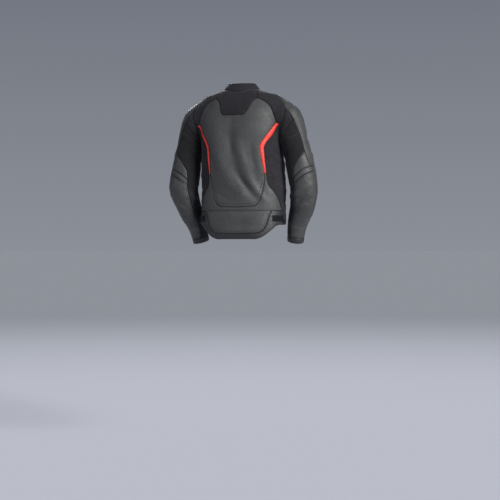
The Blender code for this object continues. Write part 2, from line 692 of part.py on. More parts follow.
def make_material(name, slot):
    color, roughness, metallic = COLORS[slot]
    material = bpy.data.materials.new(name + "_material")
    material.use_nodes = True
    shader = material.node_tree.nodes["Principled BSDF"]
    shader.inputs["Base Color"].default_value = (*color, 1.0)
    shader.inputs["Roughness"].default_value = roughness
    shader.inputs["Metallic"].default_value = metallic
    return material


def make_object(name, slot, points, faces):
    mesh = bpy.data.meshes.new(name)
    mesh.from_pydata([tuple(p) for p in points], [], faces)
    mesh.materials.append(make_material(name, slot))
    mesh.update()
    item = bpy.data.objects.new(name, mesh)
    bpy.context.scene.collection.objects.link(item)
    return item


def make_wall(name, slot, outer, inner, triangles, count):
    # Outer and inner skins of a wall, joined round its outline
    total = len(outer)
    faces = [list(t) for t in triangles]
    faces += [[total + v for v in reversed(t)] for t in triangles]
    used = {(t[k], t[(k + 1) % 3]) for t in triangles for k in range(3)}
    for i in range(count):
        j = (i + 1) % count
        edge = (i, j) if (i, j) in used else (j, i)
        start, end = edge
        if outer[i] @ SPLIT_RULE > outer[j] @ SPLIT_RULE:
            split = i
        else:
            split = j
        if split == start:
            faces.append([end, start, total + end])
            faces.append([start, total + start, total + end])
        else:
            faces.append([end, start, total + start])
            faces.append([end, total + start, total + end])
    return make_object(name, slot, sway(np.vstack([outer, inner])), faces)


def make_panel(name, slot, outline, chart, to_point, side, spacing=SPACING, lift=0.0):
    # A thin wall that fills an outline on the surface. The chart lays the outline out flat.
    inner_chart = fill_points(chart, outline, to_point, spacing)
    triangles = triangulate(chart, inner_chart)
    base = outline
    if len(inner_chart):
        base = np.vstack([outline, to_point(inner_chart)])
    base = base * [[side, 1, 1]]
    normals = form_normal(base)
    triangles = outward_triangles(base, triangles, normals)
    points = base + normals * (fold_height(base) + lift)[:, None]
    own = own_normals(points, triangles)
    crease = (normals * own).sum(axis=1) < 0.1
    between = (normals + own) / np.linalg.norm(normals + own, axis=1)[:, None]
    normals = np.where(crease[:, None], between, normals)
    count = len(outline)
    move = pull_in_edge(points, normals, count, SEAM_SHIFT)
    used = {(t[k], t[(k + 1) % 3]) for t in triangles for k in range(3)}
    if (0, 1) not in used:
        move = -move
    outer = points.copy()
    outer[:count] += move
    inner = outer - normals * WALL
    return make_wall(name, slot, outer, inner, triangles, count)


def both_halves(half):
    # A half outline on the left with its mirror image on the right
    mirrored = half[1:-1][::-1] * [-1, 1, 1]
    if abs(half[0][0]) > 1e-6 or abs(half[-1][0]) > 1e-6:
        raise ValueError("a half outline starts and ends on the middle line")
    return np.vstack([half, mirrored])


def make_torso_panel(name, slot, outline, from_front, sides, spacing=SPACING, lift=0.0):
    core = PANEL_CORE.get(name, SEAM_CORE)
    chart = torso_chart(outline, core, from_front)

    def to_point(places):
        return torso_point(places, core)

    for suffix, side in sides:
        make_panel(name + suffix, slot, outline, chart, to_point, side, spacing, lift)


def build_body():
    for name, (slot, words) in MIDDLE_PANELS.items():
        half, _ = collect_outline(words)
        make_torso_panel(name, slot, both_halves(half), False, WHOLE)
    for name, (slot, words) in BODY_PANELS.items():
        outline, _ = collect_outline(words)
        make_torso_panel(name, slot, outline, True, BOTH_SIDES)


def build_sleeves():
    for name, (slot, words) in SLEEVE_PANELS.items():
        outline, chart = collect_outline(words)
        spacing = 9 * MM if name == "elbow_stretch" else SPACING
        for suffix, side in BOTH_SIDES:
            make_panel(name + suffix, slot, outline, chart, sleeve_point, side, spacing)


def build_overlays():
    for name, words in OVERLAYS.items():
        outline, _ = collect_outline(words)
        make_torso_panel(name, "webbing", outline, True, BOTH_SIDES, 12 * MM,
                         OVERLAY_GAP + WALL)


def build_zip_tape():
    half, _ = collect_outline("zip_top zip_edge zip_low -zip_base")
    make_torso_panel("zip_tape", "tape", both_halves(half), True, WHOLE)


def build_collar():
    # Rows of points from the neck seam up to the collar's top edge, and a wall inside them
    half, _ = collect_outline("neck_back neck_side neck_front")
    base = np.vstack([half[::-1], half[1:] * [-1, 1, 1]])
    turn = np.degrees(np.arctan2(np.abs(base[:, 0]), base[:, 1])) * COLLAR_OPENING
    sizes = [read_column(COLLAR_TOP, turn, column) * MM for column in (1, 2, 3)]
    angle = np.radians(turn) * np.sign(base[:, 0] + 1e-9)
    top = np.stack([sizes[0] * np.sin(angle), sizes[1] * np.cos(angle), sizes[2]], axis=1)
    rise = top - base
    base = base + rise / np.linalg.norm(rise, axis=1)[:, None] * COLLAR_GAP
    rows = [base + (top - base) * share for share in (0, 0.5, 1)]
    along = np.gradient(base, axis=0)
    normal = np.cross(rise, along)
    normal = normal / np.linalg.norm(normal, axis=1)[:, None]
    if normal[len(normal) // 2][1] < 0:
        normal = -normal
    outer = np.vstack(rows)
    inner = np.vstack([row - normal * WALL for row in rows])
    width = len(base)
    count = len(outer)
    faces = []
    for row in range(2):
        for i in range(width - 1):
            a = row * width + i
            faces.append([a, a + 1, a + 1 + width, a + width])
            faces.append([count + a + width, count + a + 1 + width, count + a + 1, count + a])
    for i in range(width - 1):
        high = 2 * width + i
        faces.append([i + 1, i, count + i, count + i + 1])
        faces.append([high, high + 1, count + high + 1, count + high])
    for row in range(2):
        a = row * width
        b = a + width - 1
        faces.append([a, a + width, count + a + width, count + a])
        faces.append([b + width, b, count + b, count + b + width])
    collar = make_object("collar", "black", sway(np.vstack([outer, inner])), faces)
    check = np.cross(outer[1] - outer[0], outer[width] - outer[0]) @ normal[0]
    if check < 0:
        collar.data.flip_normals()


def local_frame(point):
    # Across, up and outward directions of the surface at a point
    out = form_normal(np.array([point]))[0]
    across = np.cross([0, 0, 1], out)
    across = across / np.linalg.norm(across)
    return np.array([across, np.cross(out, across), out])


def place_points(places, frame, point):
    return np.array(places, float) * MM @ frame + point


def make_prism(name, slot, profile, low, high, frame, point):
    # A flat outline in the up and outward directions, thick across
    count = len(profile)
    places = [(low, u, w) for u, w in profile] + [(high, u, w) for u, w in profile]
    faces = [list(range(count)), list(range(2 * count - 1, count - 1, -1))]
    for i in range(count):
        j = (i + 1) % count
        faces.append([i, count + i, count + j, j])
    return make_object(name, slot, place_points(places, frame, point), faces)


def build_zip_slider(frame, point):
    across, along, thick = SLIDER_SIZE
    low = 0.6
    top = low + thick
    half = along / 2
    body_profile = [(-half, low), (half, low), (half, top - 1), (half - 1, top),
                    (-half + 1, top), (-half, top - 1)]
    slider = make_prism("zip_slider", "metal", body_profile, -across / 2, across / 2,
                        frame, point)
    root = top - 0.5
    under = PULL_AXIS + 1.3
    arch_profile = [(5, root), (5, under), (4, under + 1.2), (-4, under + 1.2), (-5, under),
                    (-5, root), (-3.9, root), (-3.9, under - 0.4), (-3.5, under),
                    (3.5, under), (3.9, under - 0.4), (3.9, root)]
    arch = make_prism("slider_bridge_cutter", "metal", arch_profile, -BRIDGE_HALF, BRIDGE_HALF,
                      frame, point)
    arch.hide_render = True
    arch.display_type = "WIRE"
    union = slider.modifiers.new("bridge", "BOOLEAN")
    union.operation = "UNION"
    union.object = arch


def build_zip_pull(frame, point):
    # A plate whose upper bar passes under the slider's bridge; it turns about that bar
    bar = PULL_THICK / 2
    outer = [(-3.8, bar), (3.8, bar), (4.2, -8), (4.2, -26), (2.6, -29), (-2.6, -29),
             (-4.2, -26), (-4.2, -8)]
    hole = [(-2.1, -bar), (2.1, -bar), (2.1, -4), (2.1, -6.8), (1, -7.4), (-1, -7.4),
            (-2.1, -6.8), (-2.1, -4)]
    places = []
    for level in (PULL_AXIS - bar, PULL_AXIS + bar):
        places += [(x, u, level) for x, u in outer]
        places += [(x, u, level) for x, u in hole]
    count = len(outer)
    faces = []
    for i in range(count):
        j = (i + 1) % count
        faces.append([i, j, count + j, count + i])
        faces.append([3 * count + i, 3 * count + j, 2 * count + j, 2 * count + i])
        faces.append([j, i, 2 * count + i, 2 * count + j])
        faces.append([count + i, count + j, 3 * count + j, 3 * count + i])
    axis_point = place_points([(0, 0, PULL_AXIS)], frame, point)[0]
    pull = make_object("zip_pull", "metal", place_points(places, frame, point) - axis_point,
                       faces)
    pull.location = axis_point


def build_rings():
    # An oval ring on each hip, on the strap's end
    point = view_point("round", *RING_PLACE)
    frame = local_frame(point)
    around = 20
    section = 6
    places = []
    for i in range(around):
        turn = 2 * math.pi * i / around
        cosine = math.cos(turn)
        sine = math.sin(turn)
        for j in range(section):
            tilt = 2 * math.pi * j / section
            wide = RING_ROD * math.cos(tilt)
            places.append((cosine * (RING_HALF[0] + wide), sine * (RING_HALF[1] + wide),
                           RING_LIFT + RING_ROD * math.sin(tilt)))
    faces = []
    for i in range(around):
        for j in range(section):
            a = i * section + j
            b = i * section + (j + 1) % section
            c = (i + 1) % around * section + (j + 1) % section
            d = (i + 1) % around * section + j
            faces.append([a, d, c, b])
    points = place_points(places, frame, point)
    make_object("strap_ring_left", "plastic", points, faces)
    mirrored = [face[::-1] for face in faces]
    make_object("strap_ring_right", "plastic", points * [-1, 1, 1], mirrored)


def build_zip():
    build_zip_tape()
    point = view_point("front", 0, ZIP_STOP)
    frame = local_frame(point)
    point = sway(point)
    build_zip_slider(frame, point)
    build_zip_pull(frame, point)


def clear_scene():
    for item in list(bpy.data.objects):
        bpy.data.objects.remove(item, do_unlink=True)


clear_scene()
build_body()
build_sleeves()
build_overlays()
build_collar()
build_zip()
build_rings()
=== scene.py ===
import math

import bmesh
import bpy
import numpy as np
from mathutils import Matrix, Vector
from mathutils.kdtree import KDTree


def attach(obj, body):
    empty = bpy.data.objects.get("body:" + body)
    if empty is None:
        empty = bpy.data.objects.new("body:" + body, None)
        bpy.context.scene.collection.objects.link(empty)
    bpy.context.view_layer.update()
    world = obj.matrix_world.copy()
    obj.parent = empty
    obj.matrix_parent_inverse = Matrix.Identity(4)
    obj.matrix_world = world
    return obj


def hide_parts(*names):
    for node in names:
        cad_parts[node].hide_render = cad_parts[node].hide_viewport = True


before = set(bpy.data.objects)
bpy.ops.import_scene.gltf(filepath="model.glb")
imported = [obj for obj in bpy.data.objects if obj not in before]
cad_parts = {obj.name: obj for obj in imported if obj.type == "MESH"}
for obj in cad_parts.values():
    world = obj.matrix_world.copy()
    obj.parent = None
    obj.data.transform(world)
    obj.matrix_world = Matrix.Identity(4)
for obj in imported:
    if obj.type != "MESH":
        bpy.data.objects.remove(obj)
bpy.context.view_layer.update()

mm = 0.001
jacket = "jacket"       # the body that all the cloth rides on
bpy.ops.object.select_all(action="DESELECT")

# The outer form that every panel lies on, in mm: level sections of the torso (height, half
# width, back depth, front depth) and the left sleeve's middle line (across, back, height, radius)
bodyForm = {
    "torso": [
        (-660, 187, 125, 122), (-552, 186, 122, 120), (-480, 185, 117, 117),
        (-400, 185, 113, 115), (-340, 183, 117, 119), (-260, 175, 126, 128),
        (-200, 172, 132, 134), (-150, 177, 134, 133), (-100, 180, 129, 123),
        (-60, 180, 118, 107), (-35, 175, 107, 94), (-10, 167, 93, 81), (4, 156, 84, 75),
        (18, 118, 76, 71), (30, 82, 69, 68), (42, 66, 65, 66), (80, 60, 62, 64),
    ],
    "sleeve": [
        (120, 0, -62, 48), (162, 0, -80, 64), (190, 0, -100, 70), (210, 0, -145, 65.5),
        (226.5, 0, -190, 60), (240, 2, -240, 58.5), (258, 3, -315, 60), (270, 2, -385, 60),
        (266, -10, -437, 56), (252, -27, -489, 51), (233, -42, -540, 43.5),
        (222, -55, -584, 38), (212, -74, -650, 36),
    ],
    "roundness": 2.3,
    "meltAtArmpit": 5,
    "meltAtShoulder": 45,
    "meltTop": (-200, 160),   # the height where the melting starts to soften, and its span
    "creaseFree": 22,         # the cloth is smooth this near to the armhole
    # sideways sway of the worn pose: height, shift of the trunk, shift of the left sleeve
    "sway": [
        (-660, 0, 0), (-490, 0, 0), (-400, 0, 9), (-333, 3, 8), (-270, 10, 8), (-212, 15, 10),
        (-115, 16, 12), (-74, 12, 11), (-6, 8, 8), (80, 5, 5),
    ],
    "swayRight": (-190, -60),
    "swayLeft": ((60, 230), (200, 320)),
    "swayLevels": (-200, -350),
}


def smoothColumn(rows, places, column):
    # smooth curve through one column, with no swing past its rows
    rows = np.array(rows, float)
    xs, ys = rows[:, 0], rows[:, column]
    rises = np.diff(ys) / np.diff(xs)
    slopes = np.zeros(len(xs))
    slopes[0], slopes[-1] = rises[0], rises[-1]
    product = rises[:-1] * rises[1:]
    total = np.where(product > 0, rises[:-1] + rises[1:], 1.0)
    slopes[1:-1] = np.where(product > 0, 2 * product / total, 0.0)
    x = np.clip(places, xs[0], xs[-1])
    i = np.clip(np.searchsorted(xs, x) - 1, 0, len(xs) - 2)
    span = xs[i + 1] - xs[i]
    t = (x - xs[i]) / span
    left = ys[i] * (1 + 2 * t) + slopes[i] * span * t
    right = ys[i + 1] * (3 - 2 * t) - slopes[i + 1] * span * (1 - t)
    return left * (1 - t) ** 2 + right * t ** 2


def roundedLine(rows, steps):
    rows = np.array(rows, float)
    ends = np.vstack([2 * rows[0] - rows[1], rows, 2 * rows[-1] - rows[-2]])
    points = []
    for i in range(len(rows) - 1):
        a, b, c, d = ends[i:i + 4]
        for step in range(steps):
            t = step / steps
            points.append(0.5 * (2 * b + (c - a) * t + (2 * a - 5 * b + 4 * c - d) * t ** 2
                                 + (3 * b - a - 3 * c + d) * t ** 3))
    points.append(rows[-1])
    return np.array(points)


sleeveLine = roundedLine(bodyForm["sleeve"], 2) * mm
sleeveReach = np.concatenate([[0], np.cumsum(np.linalg.norm(
    np.diff(sleeveLine[:, :3], axis=0), axis=1))])
torsoLevels = np.arange(bodyForm["torso"][0][0], bodyForm["torso"][-1][0] + 1)
torsoSizes = [smoothColumn(bodyForm["torso"], torsoLevels, c) * mm for c in (1, 2, 3)]


def treeOf(points):
    tree = KDTree(len(points))
    for i, point in enumerate(points):
        tree.insert(point, i)
    tree.balance()
    return tree


def unit(vectors):
    return vectors / np.maximum(np.linalg.norm(vectors, axis=1), 1e-9)[:, None]


def bell(away, half, middle=0):
    # 1 at the middle, and falls off softly on both sides
    return np.exp(-((away - middle) / half) ** 2)


def ease(share):
    share = np.clip(share, 0, 1)
    return share * share * (3 - 2 * share)


def swayShift(points):
    # how far a point of the upright jacket goes across in the worn pose
    x, z = points[:, 0] / mm, points[:, 2] / mm
    high, low = bodyForm["swayLevels"]
    lower = ease((high - z) / (high - low))
    (start1, end1), (start2, end2) = bodyForm["swayLeft"]
    start = start1 + (start2 - start1) * lower
    end = end1 + (end2 - end1) * lower
    sleeve = ease((x - start) / (end - start))
    first, full = bodyForm["swayRight"]
    trunk = ease((x - first) / (full - first)) * (1 - sleeve)
    return (smoothColumn(bodyForm["sway"], z, 1) * trunk
            + smoothColumn(bodyForm["sway"], z, 2) * sleeve) * mm


def upright(points, rounds=4):
    # points of the worn pose, back in the upright jacket
    result = points.copy()
    for _ in range(rounds):
        result[:, 0] = points[:, 0] - swayShift(result)
    return result


def torsoDistance(points):
    x, y, z = points.T
    width, back, front = (np.interp(z / mm, torsoLevels, sizes) for sizes in torsoSizes)
    depth = np.where(y > 0, back, front)
    power = bodyForm["roundness"]
    size = (np.abs(x / width) ** power + np.abs(y / depth) ** power) ** (1 / power)
    return np.maximum(np.hypot(x, y), mm) * (1 - 1 / np.maximum(size, 0.001))


def sleevePlace(points):
    # distance to the sleeve's skin, degrees round it from its outer side, and mm along it
    folded = points.copy()
    folded[:, 0] = np.abs(folded[:, 0])
    nearest = np.full(len(points), 9.0)
    turn, along = np.zeros(len(points)), np.zeros(len(points))
    for i, (start, end) in enumerate(zip(sleeveLine[:-1], sleeveLine[1:])):
        way = end[:3] - start[:3]
        length = np.linalg.norm(way)
        away = folded - start[:3]
        share = np.clip(away @ way / length ** 2, 0, 1)
        off = away - share[:, None] * way
        distance = np.linalg.norm(off, axis=1) - start[3] - share * (end[3] - start[3])
        closer = distance < nearest
        nearest = np.where(closer, distance, nearest)
        out = np.array([1, 0, 0]) - way * way[0] / length ** 2
        out = out / np.linalg.norm(out)
        behind = np.cross(way / length, out)
        behind = behind if behind[1] > 0 else -behind
        turn = np.where(closer, np.degrees(np.arctan2(off @ behind, off @ out)), turn)
        along = np.where(closer, (sleeveReach[i] + share * length) / mm, along)
    return nearest, turn, along


def formDistance(points):
    points = upright(points)
    torso, sleeve = torsoDistance(points), sleevePlace(points)[0]
    sharp, soft = bodyForm["meltAtArmpit"] * mm, bodyForm["meltAtShoulder"] * mm
    low, span = bodyForm["meltTop"]
    softness = sharp + (soft - sharp) * ease((points[:, 2] - low * mm) / (span * mm))
    overlap = np.clip(1 - np.abs(torso - sleeve) / softness, 0, 1)
    return np.minimum(torso, sleeve) - overlap ** 2 * softness / 4


def formNormal(points, step=0.0006):
    # the way in which the distance grows fastest
    sides = [formDistance(points + axis) - formDistance(points - axis)
             for axis in np.eye(3) * step]
    return np.stack(sides, axis=1) / (2 * step)


def ontoForm(points, rounds=3):
    # moves points straight onto the form, and gives its normals there
    for _ in range(rounds):
        slope = formNormal(points)
        steep = (slope ** 2).sum(axis=1)
        points = points - slope * (formDistance(points) / np.maximum(steep, 0.05))[:, None]
    return points, unit(formNormal(points))


# Creases in the cloth: where it is seen from, three places of its line, half
# width and height (mm, troughs below zero). Torso places are across and height, sleeve places
# are degrees round and mm along.
torsoCreases = {
    "back": [
        ((58, -140), (72, -265), (42, -350), 32, 5.0), ((44, -338), (22, -392), (-62, -452), 27, 5.2),
        ((2, -92), (12, -220), (0, -318), 19, -4.2), ((0, -304), (-14, -372), (-98, -448), 16, -4.2),
        ((-26, -185), (-40, -270), (-52, -345), 20, 3.8), ((-50, -332), (-62, -392), (-118, -450), 17, 4.8),
        ((114, -190), (102, -280), (108, -345), 17, -2.2), ((-84, -190), (-74, -262), (-92, -340), 13, -1.6),
        ((100, -404), (60, -446), (-6, -458), 15, -1.6), ((-60, -506), (-20, -512), (44, -504), 13, 1.4),
        ((-92, -560), (-30, -548), (58, -562), 15, -1.6), ((150, -300), (134, -340), (142, -392), 9, -1.8),
        ((-150, -290), (-136, -345), (-146, -400), 10, -2.0), ((0, -30), (26, -46), (66, -52), 9, -1.2),
    ],
    "front": [
        ((60, -120), (86, -190), (150, -230), 20, -4.2), ((-55, -135), (-90, -200), (-150, -225), 19, -3.7),
        ((20, -330), (80, -350), (150, -400), 17, 3.7), ((-25, -360), (-90, -390), (-155, -410), 18, 3.7),
        ((40, -420), (95, -440), (160, -455), 15, -3.2), ((-36, -424), (-84, -436), (-150, -470), 12, -2.2),
        ((48, -90), (80, -130), (128, -150), 11, 2.0), ((-42, -84), (-76, -118), (-132, -140), 12, 2.2),
        ((-30, -250), (-70, -280), (-120, -276), 12, -1.8), ((26, -230), (70, -262), (128, -290), 13, -2.0),
    ],
    "left": [
        ((60, -250), (10, -290), (-50, -276), 9, -2.0), ((56, -330), (0, -352), (-60, -340), 10, 2.2),
        ((70, -392), (10, -412), (-64, -398), 9, -2.2), ((60, -450), (4, -458), (-50, -444), 8, 1.8),
    ],
    "right": [
        ((64, -262), (6, -282), (-58, -300), 10, 2.2), ((60, -318), (0, -340), (-56, -326), 9, -2.2),
        ((72, -386), (6, -398), (-60, -420), 10, 2.0), ((58, -446), (2, -452), (-56, -462), 8, -2.0),
    ],
}

sleeveCreases = {
    "both": [
        ((210, 343), (255, 361), (302, 339), 10, -4.2), ((200, 395), (255, 387), (325, 405), 10, -3.8),
        ((110, 223), (150, 248), (210, 258), 13, -3.2), ((340, 173), (310, 223), (265, 258), 14, -3.8),
        ((100, 393), (140, 423), (190, 438), 12, 2.7), ((70, 473), (120, 493), (170, 483), 13, -1.8),
        ((-20, 463), (20, 503), (70, 543), 15, 1.2),
    ],
    "left": [
        ((-40, 150), (-14, 190), (20, 206), 14, -2.6), ((24, 236), (0, 262), (-36, 268), 9, 2.2),
        ((60, 150), (92, 172), (128, 166), 10, 2.6), ((236, 320), (276, 330), (318, 318), 7, 2.6),
        ((30, 400), (64, 420), (96, 452), 9, -2.2), ((-30, 320), (-8, 350), (-20, 396), 10, -2.2),
        ((40, 560), (84, 548), (130, 566), 8, 1.8), ((230, 520), (276, 540), (320, 528), 10, -1.6),
        ((60, 384), (88, 430), (112, 480), 17, -2.4),
    ],
    "right": [
        ((56, 372), (92, 412), (118, 472), 17, -3.0), ((-36, 160), (-6, 186), (28, 214), 13, -2.8),
        ((30, 244), (2, 256), (-40, 276), 9, 2.4), ((56, 158), (96, 182), (134, 160), 11, 2.4),
        ((240, 316), (282, 334), (322, 322), 7, 2.6), ((26, 410), (58, 436), (100, 444), 9, -2.4),
        ((-34, 330), (-4, 356), (-24, 404), 11, -2.0), ((36, 556), (80, 566), (126, 552), 8, 1.8),
        ((226, 512), (280, 532), (326, 546), 9, -2.0),
    ],
}

# Every crease: places along it, the stretch of a half wave that it follows, and the wander of
# its width
creasing = {"places": 10, "wave": (0.10, 0.80), "wander": 0.18, "wanderLength": 23}

# Ribs of the stretch panel at the elbow: its upper and lower edges, in degrees round and mm
elbowRibs = {"count": 4, "height": 2.0, "ends": 0.4,
             "top": ((27, 66, 94, 121), (306, 313, 325, 345)),
             "base": ((20, 64, 96, 122), (326, 334, 349, 365))}


def creaseHeight(across, level, rows, weights, wrap=False):
    total = np.zeros(len(across))
    rise, length = creasing["wave"]
    weighed = [(weight, *row) for view, weight in weights.items() if weight.any()
               for row in rows[view]]
    for weight, first, middle, last, width, height in weighed:
        nearest, fade = np.full(len(across), 1e6), np.zeros(len(across))
        line = []
        for t in np.linspace(0, 1, creasing["places"]):
            blend = ((1 - t) ** 2, 2 * t * (1 - t), t ** 2)
            line.append([sum(b * p[k] for b, p in zip(blend, (first, middle, last)))
                         for k in (0, 1)])
        line = np.array(line, float)
        place = across
        if wrap:
            centre = line[:, 0].mean()
            place = centre + (across - centre + 180) % 360 - 180
            line[:, 0] -= centre
            place = place - centre
        for i, (start, end) in enumerate(zip(line[:-1], line[1:])):
            way = end - start
            dx, dy = place - start[0], level - start[1]
            share = np.clip((dx * way[0] + dy * way[1]) / (way @ way), 0, 1)
            distance = np.hypot(dx - share * way[0], dy - share * way[1])
            closer = distance < nearest
            nearest = np.where(closer, distance, nearest)
            at = (i + share) / (len(line) - 1)
            fade = np.where(closer, np.sin(math.pi * (rise + length * at)), fade)
        wander = np.sin(level / creasing["wanderLength"] + height)
        wide = width * (1 + creasing["wander"] * wander)
        total += weight * height * fade * bell(nearest, wide)
    return total * mm


def ribHeight(points):
    turn, along = sleevePlace(points)[1:]
    top, base = np.interp(turn, *elbowRibs["top"]), np.interp(turn, *elbowRibs["base"])
    share = (along - top) / (base - top)
    first, last = elbowRibs["base"][0][0], elbowRibs["base"][0][-1]
    ends = np.sin(math.pi * np.clip((turn - first) / (last - first), 0.02, 0.98))
    ends = ends ** elbowRibs["ends"]
    return elbowRibs["height"] * mm * ends * np.sin(math.pi * elbowRibs["count"] * share) ** 2


def clothHeight(points, normals, onSleeve):
    torso = torsoDistance(points)
    sleeve, turn, along = sleevePlace(points)
    # creases die out towards the armhole, so that both sides of its seam meet
    far = ease(np.abs(torso - sleeve) / (bodyForm["creaseFree"] * mm))
    x, y, z = points.T / mm
    left = (x > 0).astype(float)
    if onSleeve:
        weights = {"both": np.ones(len(x)), "left": left, "right": 1 - left}
        return far * creaseHeight(turn, along, sleeveCreases, weights, wrap=True)
    side = np.clip(np.abs(normals[:, 0]) * 2 - 1, 0, 1)
    flat = {"back": np.clip(normals[:, 1] * 2, 0, 1), "front": np.clip(-normals[:, 1] * 2, 0, 1)}
    flank = {"left": side * left, "right": side * (1 - left)}
    return far * (creaseHeight(x, z, torsoCreases, flat)
                  + creaseHeight(y, z, torsoCreases, flank))


# Every sewn panel: its cloth and its rows of topstitching in mm from the seam. "node" is the
# solid that it covers, where that isn't the panel's own name in small letters, "detail" is how
# often its 25 mm triangles are halved, and "puff" is how far it swells off its seams.
panels = {
    "backPanel": {"node": "back_center", "cloth": "greyLeather", "rows": (3.2, 10.5),
                  "wideRowTop": -345},
    "neckYoke": {"cloth": "stretchCloth", "rows": (3.2,)},
    "hipWings": {"cloth": "greyLeather", "rows": (3.0,)},
    "lowerBack": {"cloth": "greyLeather", "rows": (3.0, 7.5)},
    "hemBack": {"cloth": "blackLeather", "rows": (3.0,)},
    "shoulderYoke": {"cloth": "stretchCloth", "rows": (3.0,)},
    "redInsert": {"cloth": "redLeather", "rows": (2.4,)},
    "sidePanel": {"cloth": "stretchCloth"},
    "frontPanel": {"node": "front", "cloth": "greyLeather", "rows": (3.2, 8.6)},
    "hemFront": {"cloth": "blackLeather", "rows": (3.0,)},
    "sleeveCap": {"cloth": "greyLeather", "rows": (3.2, 8.0)},
    "sleeveGusset": {"cloth": "stretchCloth", "rows": (2.6,)},
    "upperArm": {"cloth": "stretchCloth"},
    "elbowPatch": {"cloth": "greyLeather", "rows": (2.8,)},
    "elbowStretch": {"cloth": "greyLeather", "rows": (2.0,), "detail": 2, "puff": 0.2},
    "forearmBack": {"cloth": "greyLeather", "rows": (3.0, 7.5)},
    "forearmFront": {"cloth": "greyLeather", "rows": (3.0,)},
    "forearmInner": {"cloth": "stretchCloth"},
    "cuffBand": {"node": "cuff", "cloth": "blackLeather", "rows": (3.0,), "puff": 0.3},
    "zipTape": {"cloth": "tapeCloth", "puff": 0.0, "detail": 2},
    "waistStrap": {"cloth": "webbingCloth", "rows": (2.2,), "lift": 3.3, "puff": 0.1},
    "strapTab": {"node": "strap_anchor", "cloth": "webbingCloth", "rows": (2.0,),
                 "lift": 3.3, "puff": 0.1},
}
sewing = {
    "wall": 1.7,           # thickness of the finished cloth, mm
    "seamDrop": 0.9,       # how deep a panel's edge turns down into its seam
    "dropReach": 1.7,
    "puff": 1.0,
    "puffReach": 9,
    "pucker": 0.35,        # small waves along a stitched seam
    "puckerLength": 16,
    "puckerWander": (1.7, 41),   # how far and how slowly the waves shift along the seam
    "puckerReach": (2, 9),       # where they start and die out beside it
    "puckerPlain": 0.4,          # their share where no row is stitched
    "cornerAngle": 26,     # a seam's corner turns by more than this many degrees
    "creaseScale": 1.55,   # how much deeper the creases are than their solids'
    "rowDip": 0.55,        # how deep a row of topstitching pulls the cloth in
    "rowReach": 1.5,
    "quietLevel": -494,    # height of the flat seam over the tail
    "quietShare": 0.75,    # how much of a seam's relief, rubbing, painted highlight and painted shade is lost there
    "quietReach": 10,
    "sameSide": 0.42,      # neighbouring faces of one side of a wall: the cosine's least
    "cornerReach": 1.6,    # a rim point this near to a corner is that corner
    "wear": (0.6, 1.8, 2.2),   # rubbing along a seam together with a painted highlight there: its strength, place and half width
    "wearFold": (0.6, 5),      # rubbing on a crease: its most, and the height for all of it
}
sleeveNodes = ("sleeve_cap", "sleeve_gusset", "upper_arm", "elbow_patch", "elbow_stretch",
               "forearm_back", "forearm_front", "forearm_inner", "cuff")
for name, cut in panels.items():
    words = "".join("_" + c.lower() if c.isupper() else c for c in name)
    cut["node"] = cut.get("node", words)
    cut["rows"] = cut.get("rows", ())


def outerSkin(node):
    # the outer faces of a panel's wall, merged, from the face that looks most outwards
    skin = bmesh.new()
    skin.from_mesh(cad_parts[node].data)
    bmesh.ops.remove_doubles(skin, verts=skin.verts, dist=0.05 * mm)
    skin.normal_update()
    skin.faces.ensure_lookup_table()
    middles = np.array([f.calc_center_median() for f in skin.faces])
    outward = formNormal(middles)
    looks = (outward * np.array([f.normal for f in skin.faces])).sum(axis=1)
    area = np.array([f.calc_area() for f in skin.faces])
    first = skin.faces[int(np.argmax(looks * area))]
    found, waiting = {first}, [first]
    while waiting:
        face = waiting.pop()
        for edge in face.edges:
            for other in edge.link_faces:
                alike = face.normal.dot(other.normal) > sewing["sameSide"]
                if alike and other not in found:
                    found.add(other)
                    waiting.append(other)
    bmesh.ops.delete(skin, geom=[f for f in skin.faces if f not in found], context="FACES")
    bmesh.ops.delete(skin, geom=[v for v in skin.verts if not v.link_faces], context="VERTS")
    return skin


def rimLoop(skin):
    # the boundary's vertices in order
    start = next(e for e in skin.edges if e.is_boundary)
    loop = [start.verts[0], start.verts[1]]
    edge = start
    while True:
        edge = next(e for e in loop[-1].link_edges if e.is_boundary and e is not edge)
        following = edge.other_vert(loop[-1])
        if following is loop[0]:
            return loop
        loop.append(following)


def turnAngles(places):
    before = places - np.roll(places, 1, axis=0)
    after = np.roll(places, -1, axis=0) - places
    cosine = (before * after).sum(axis=1) / np.linalg.norm(before, axis=1)
    cosine = cosine / np.linalg.norm(after, axis=1)
    return np.degrees(np.arccos(np.clip(cosine, -1, 1)))


def isCorner(places, cornerTree):
    return np.array([cornerTree.find(p)[2] < sewing["cornerReach"] * mm for p in places])


def halveTriangles(skin, cornerTree):
    # each triangle becomes four, and the rim's new points follow its curve
    old = len(skin.verts)
    bmesh.ops.subdivide_edges(skin, edges=skin.edges[:], cuts=1, use_grid_fill=True)
    bmesh.ops.triangulate(skin, faces=[f for f in skin.faces if len(f.verts) > 3])
    skin.verts.ensure_lookup_table()
    skin.verts.index_update()
    loop = rimLoop(skin)
    while loop[0].index >= old:
        loop = loop[1:] + loop[:1]
    places = np.array([v.co for v in loop[0::2]])
    corner = isCorner(places, cornerTree)
    before = np.where(corner[:, None], 2 * places - np.roll(places, -1, axis=0),
                      np.roll(places, 1, axis=0))
    after1 = np.roll(places, -1, axis=0)
    after2 = np.where(np.roll(corner, -1)[:, None], 2 * after1 - places,
                      np.roll(places, -2, axis=0))
    middles = (9 * (places + after1) - before - after2) / 16
    for vertex, place in zip(loop[1::2], middles):
        vertex.co = place


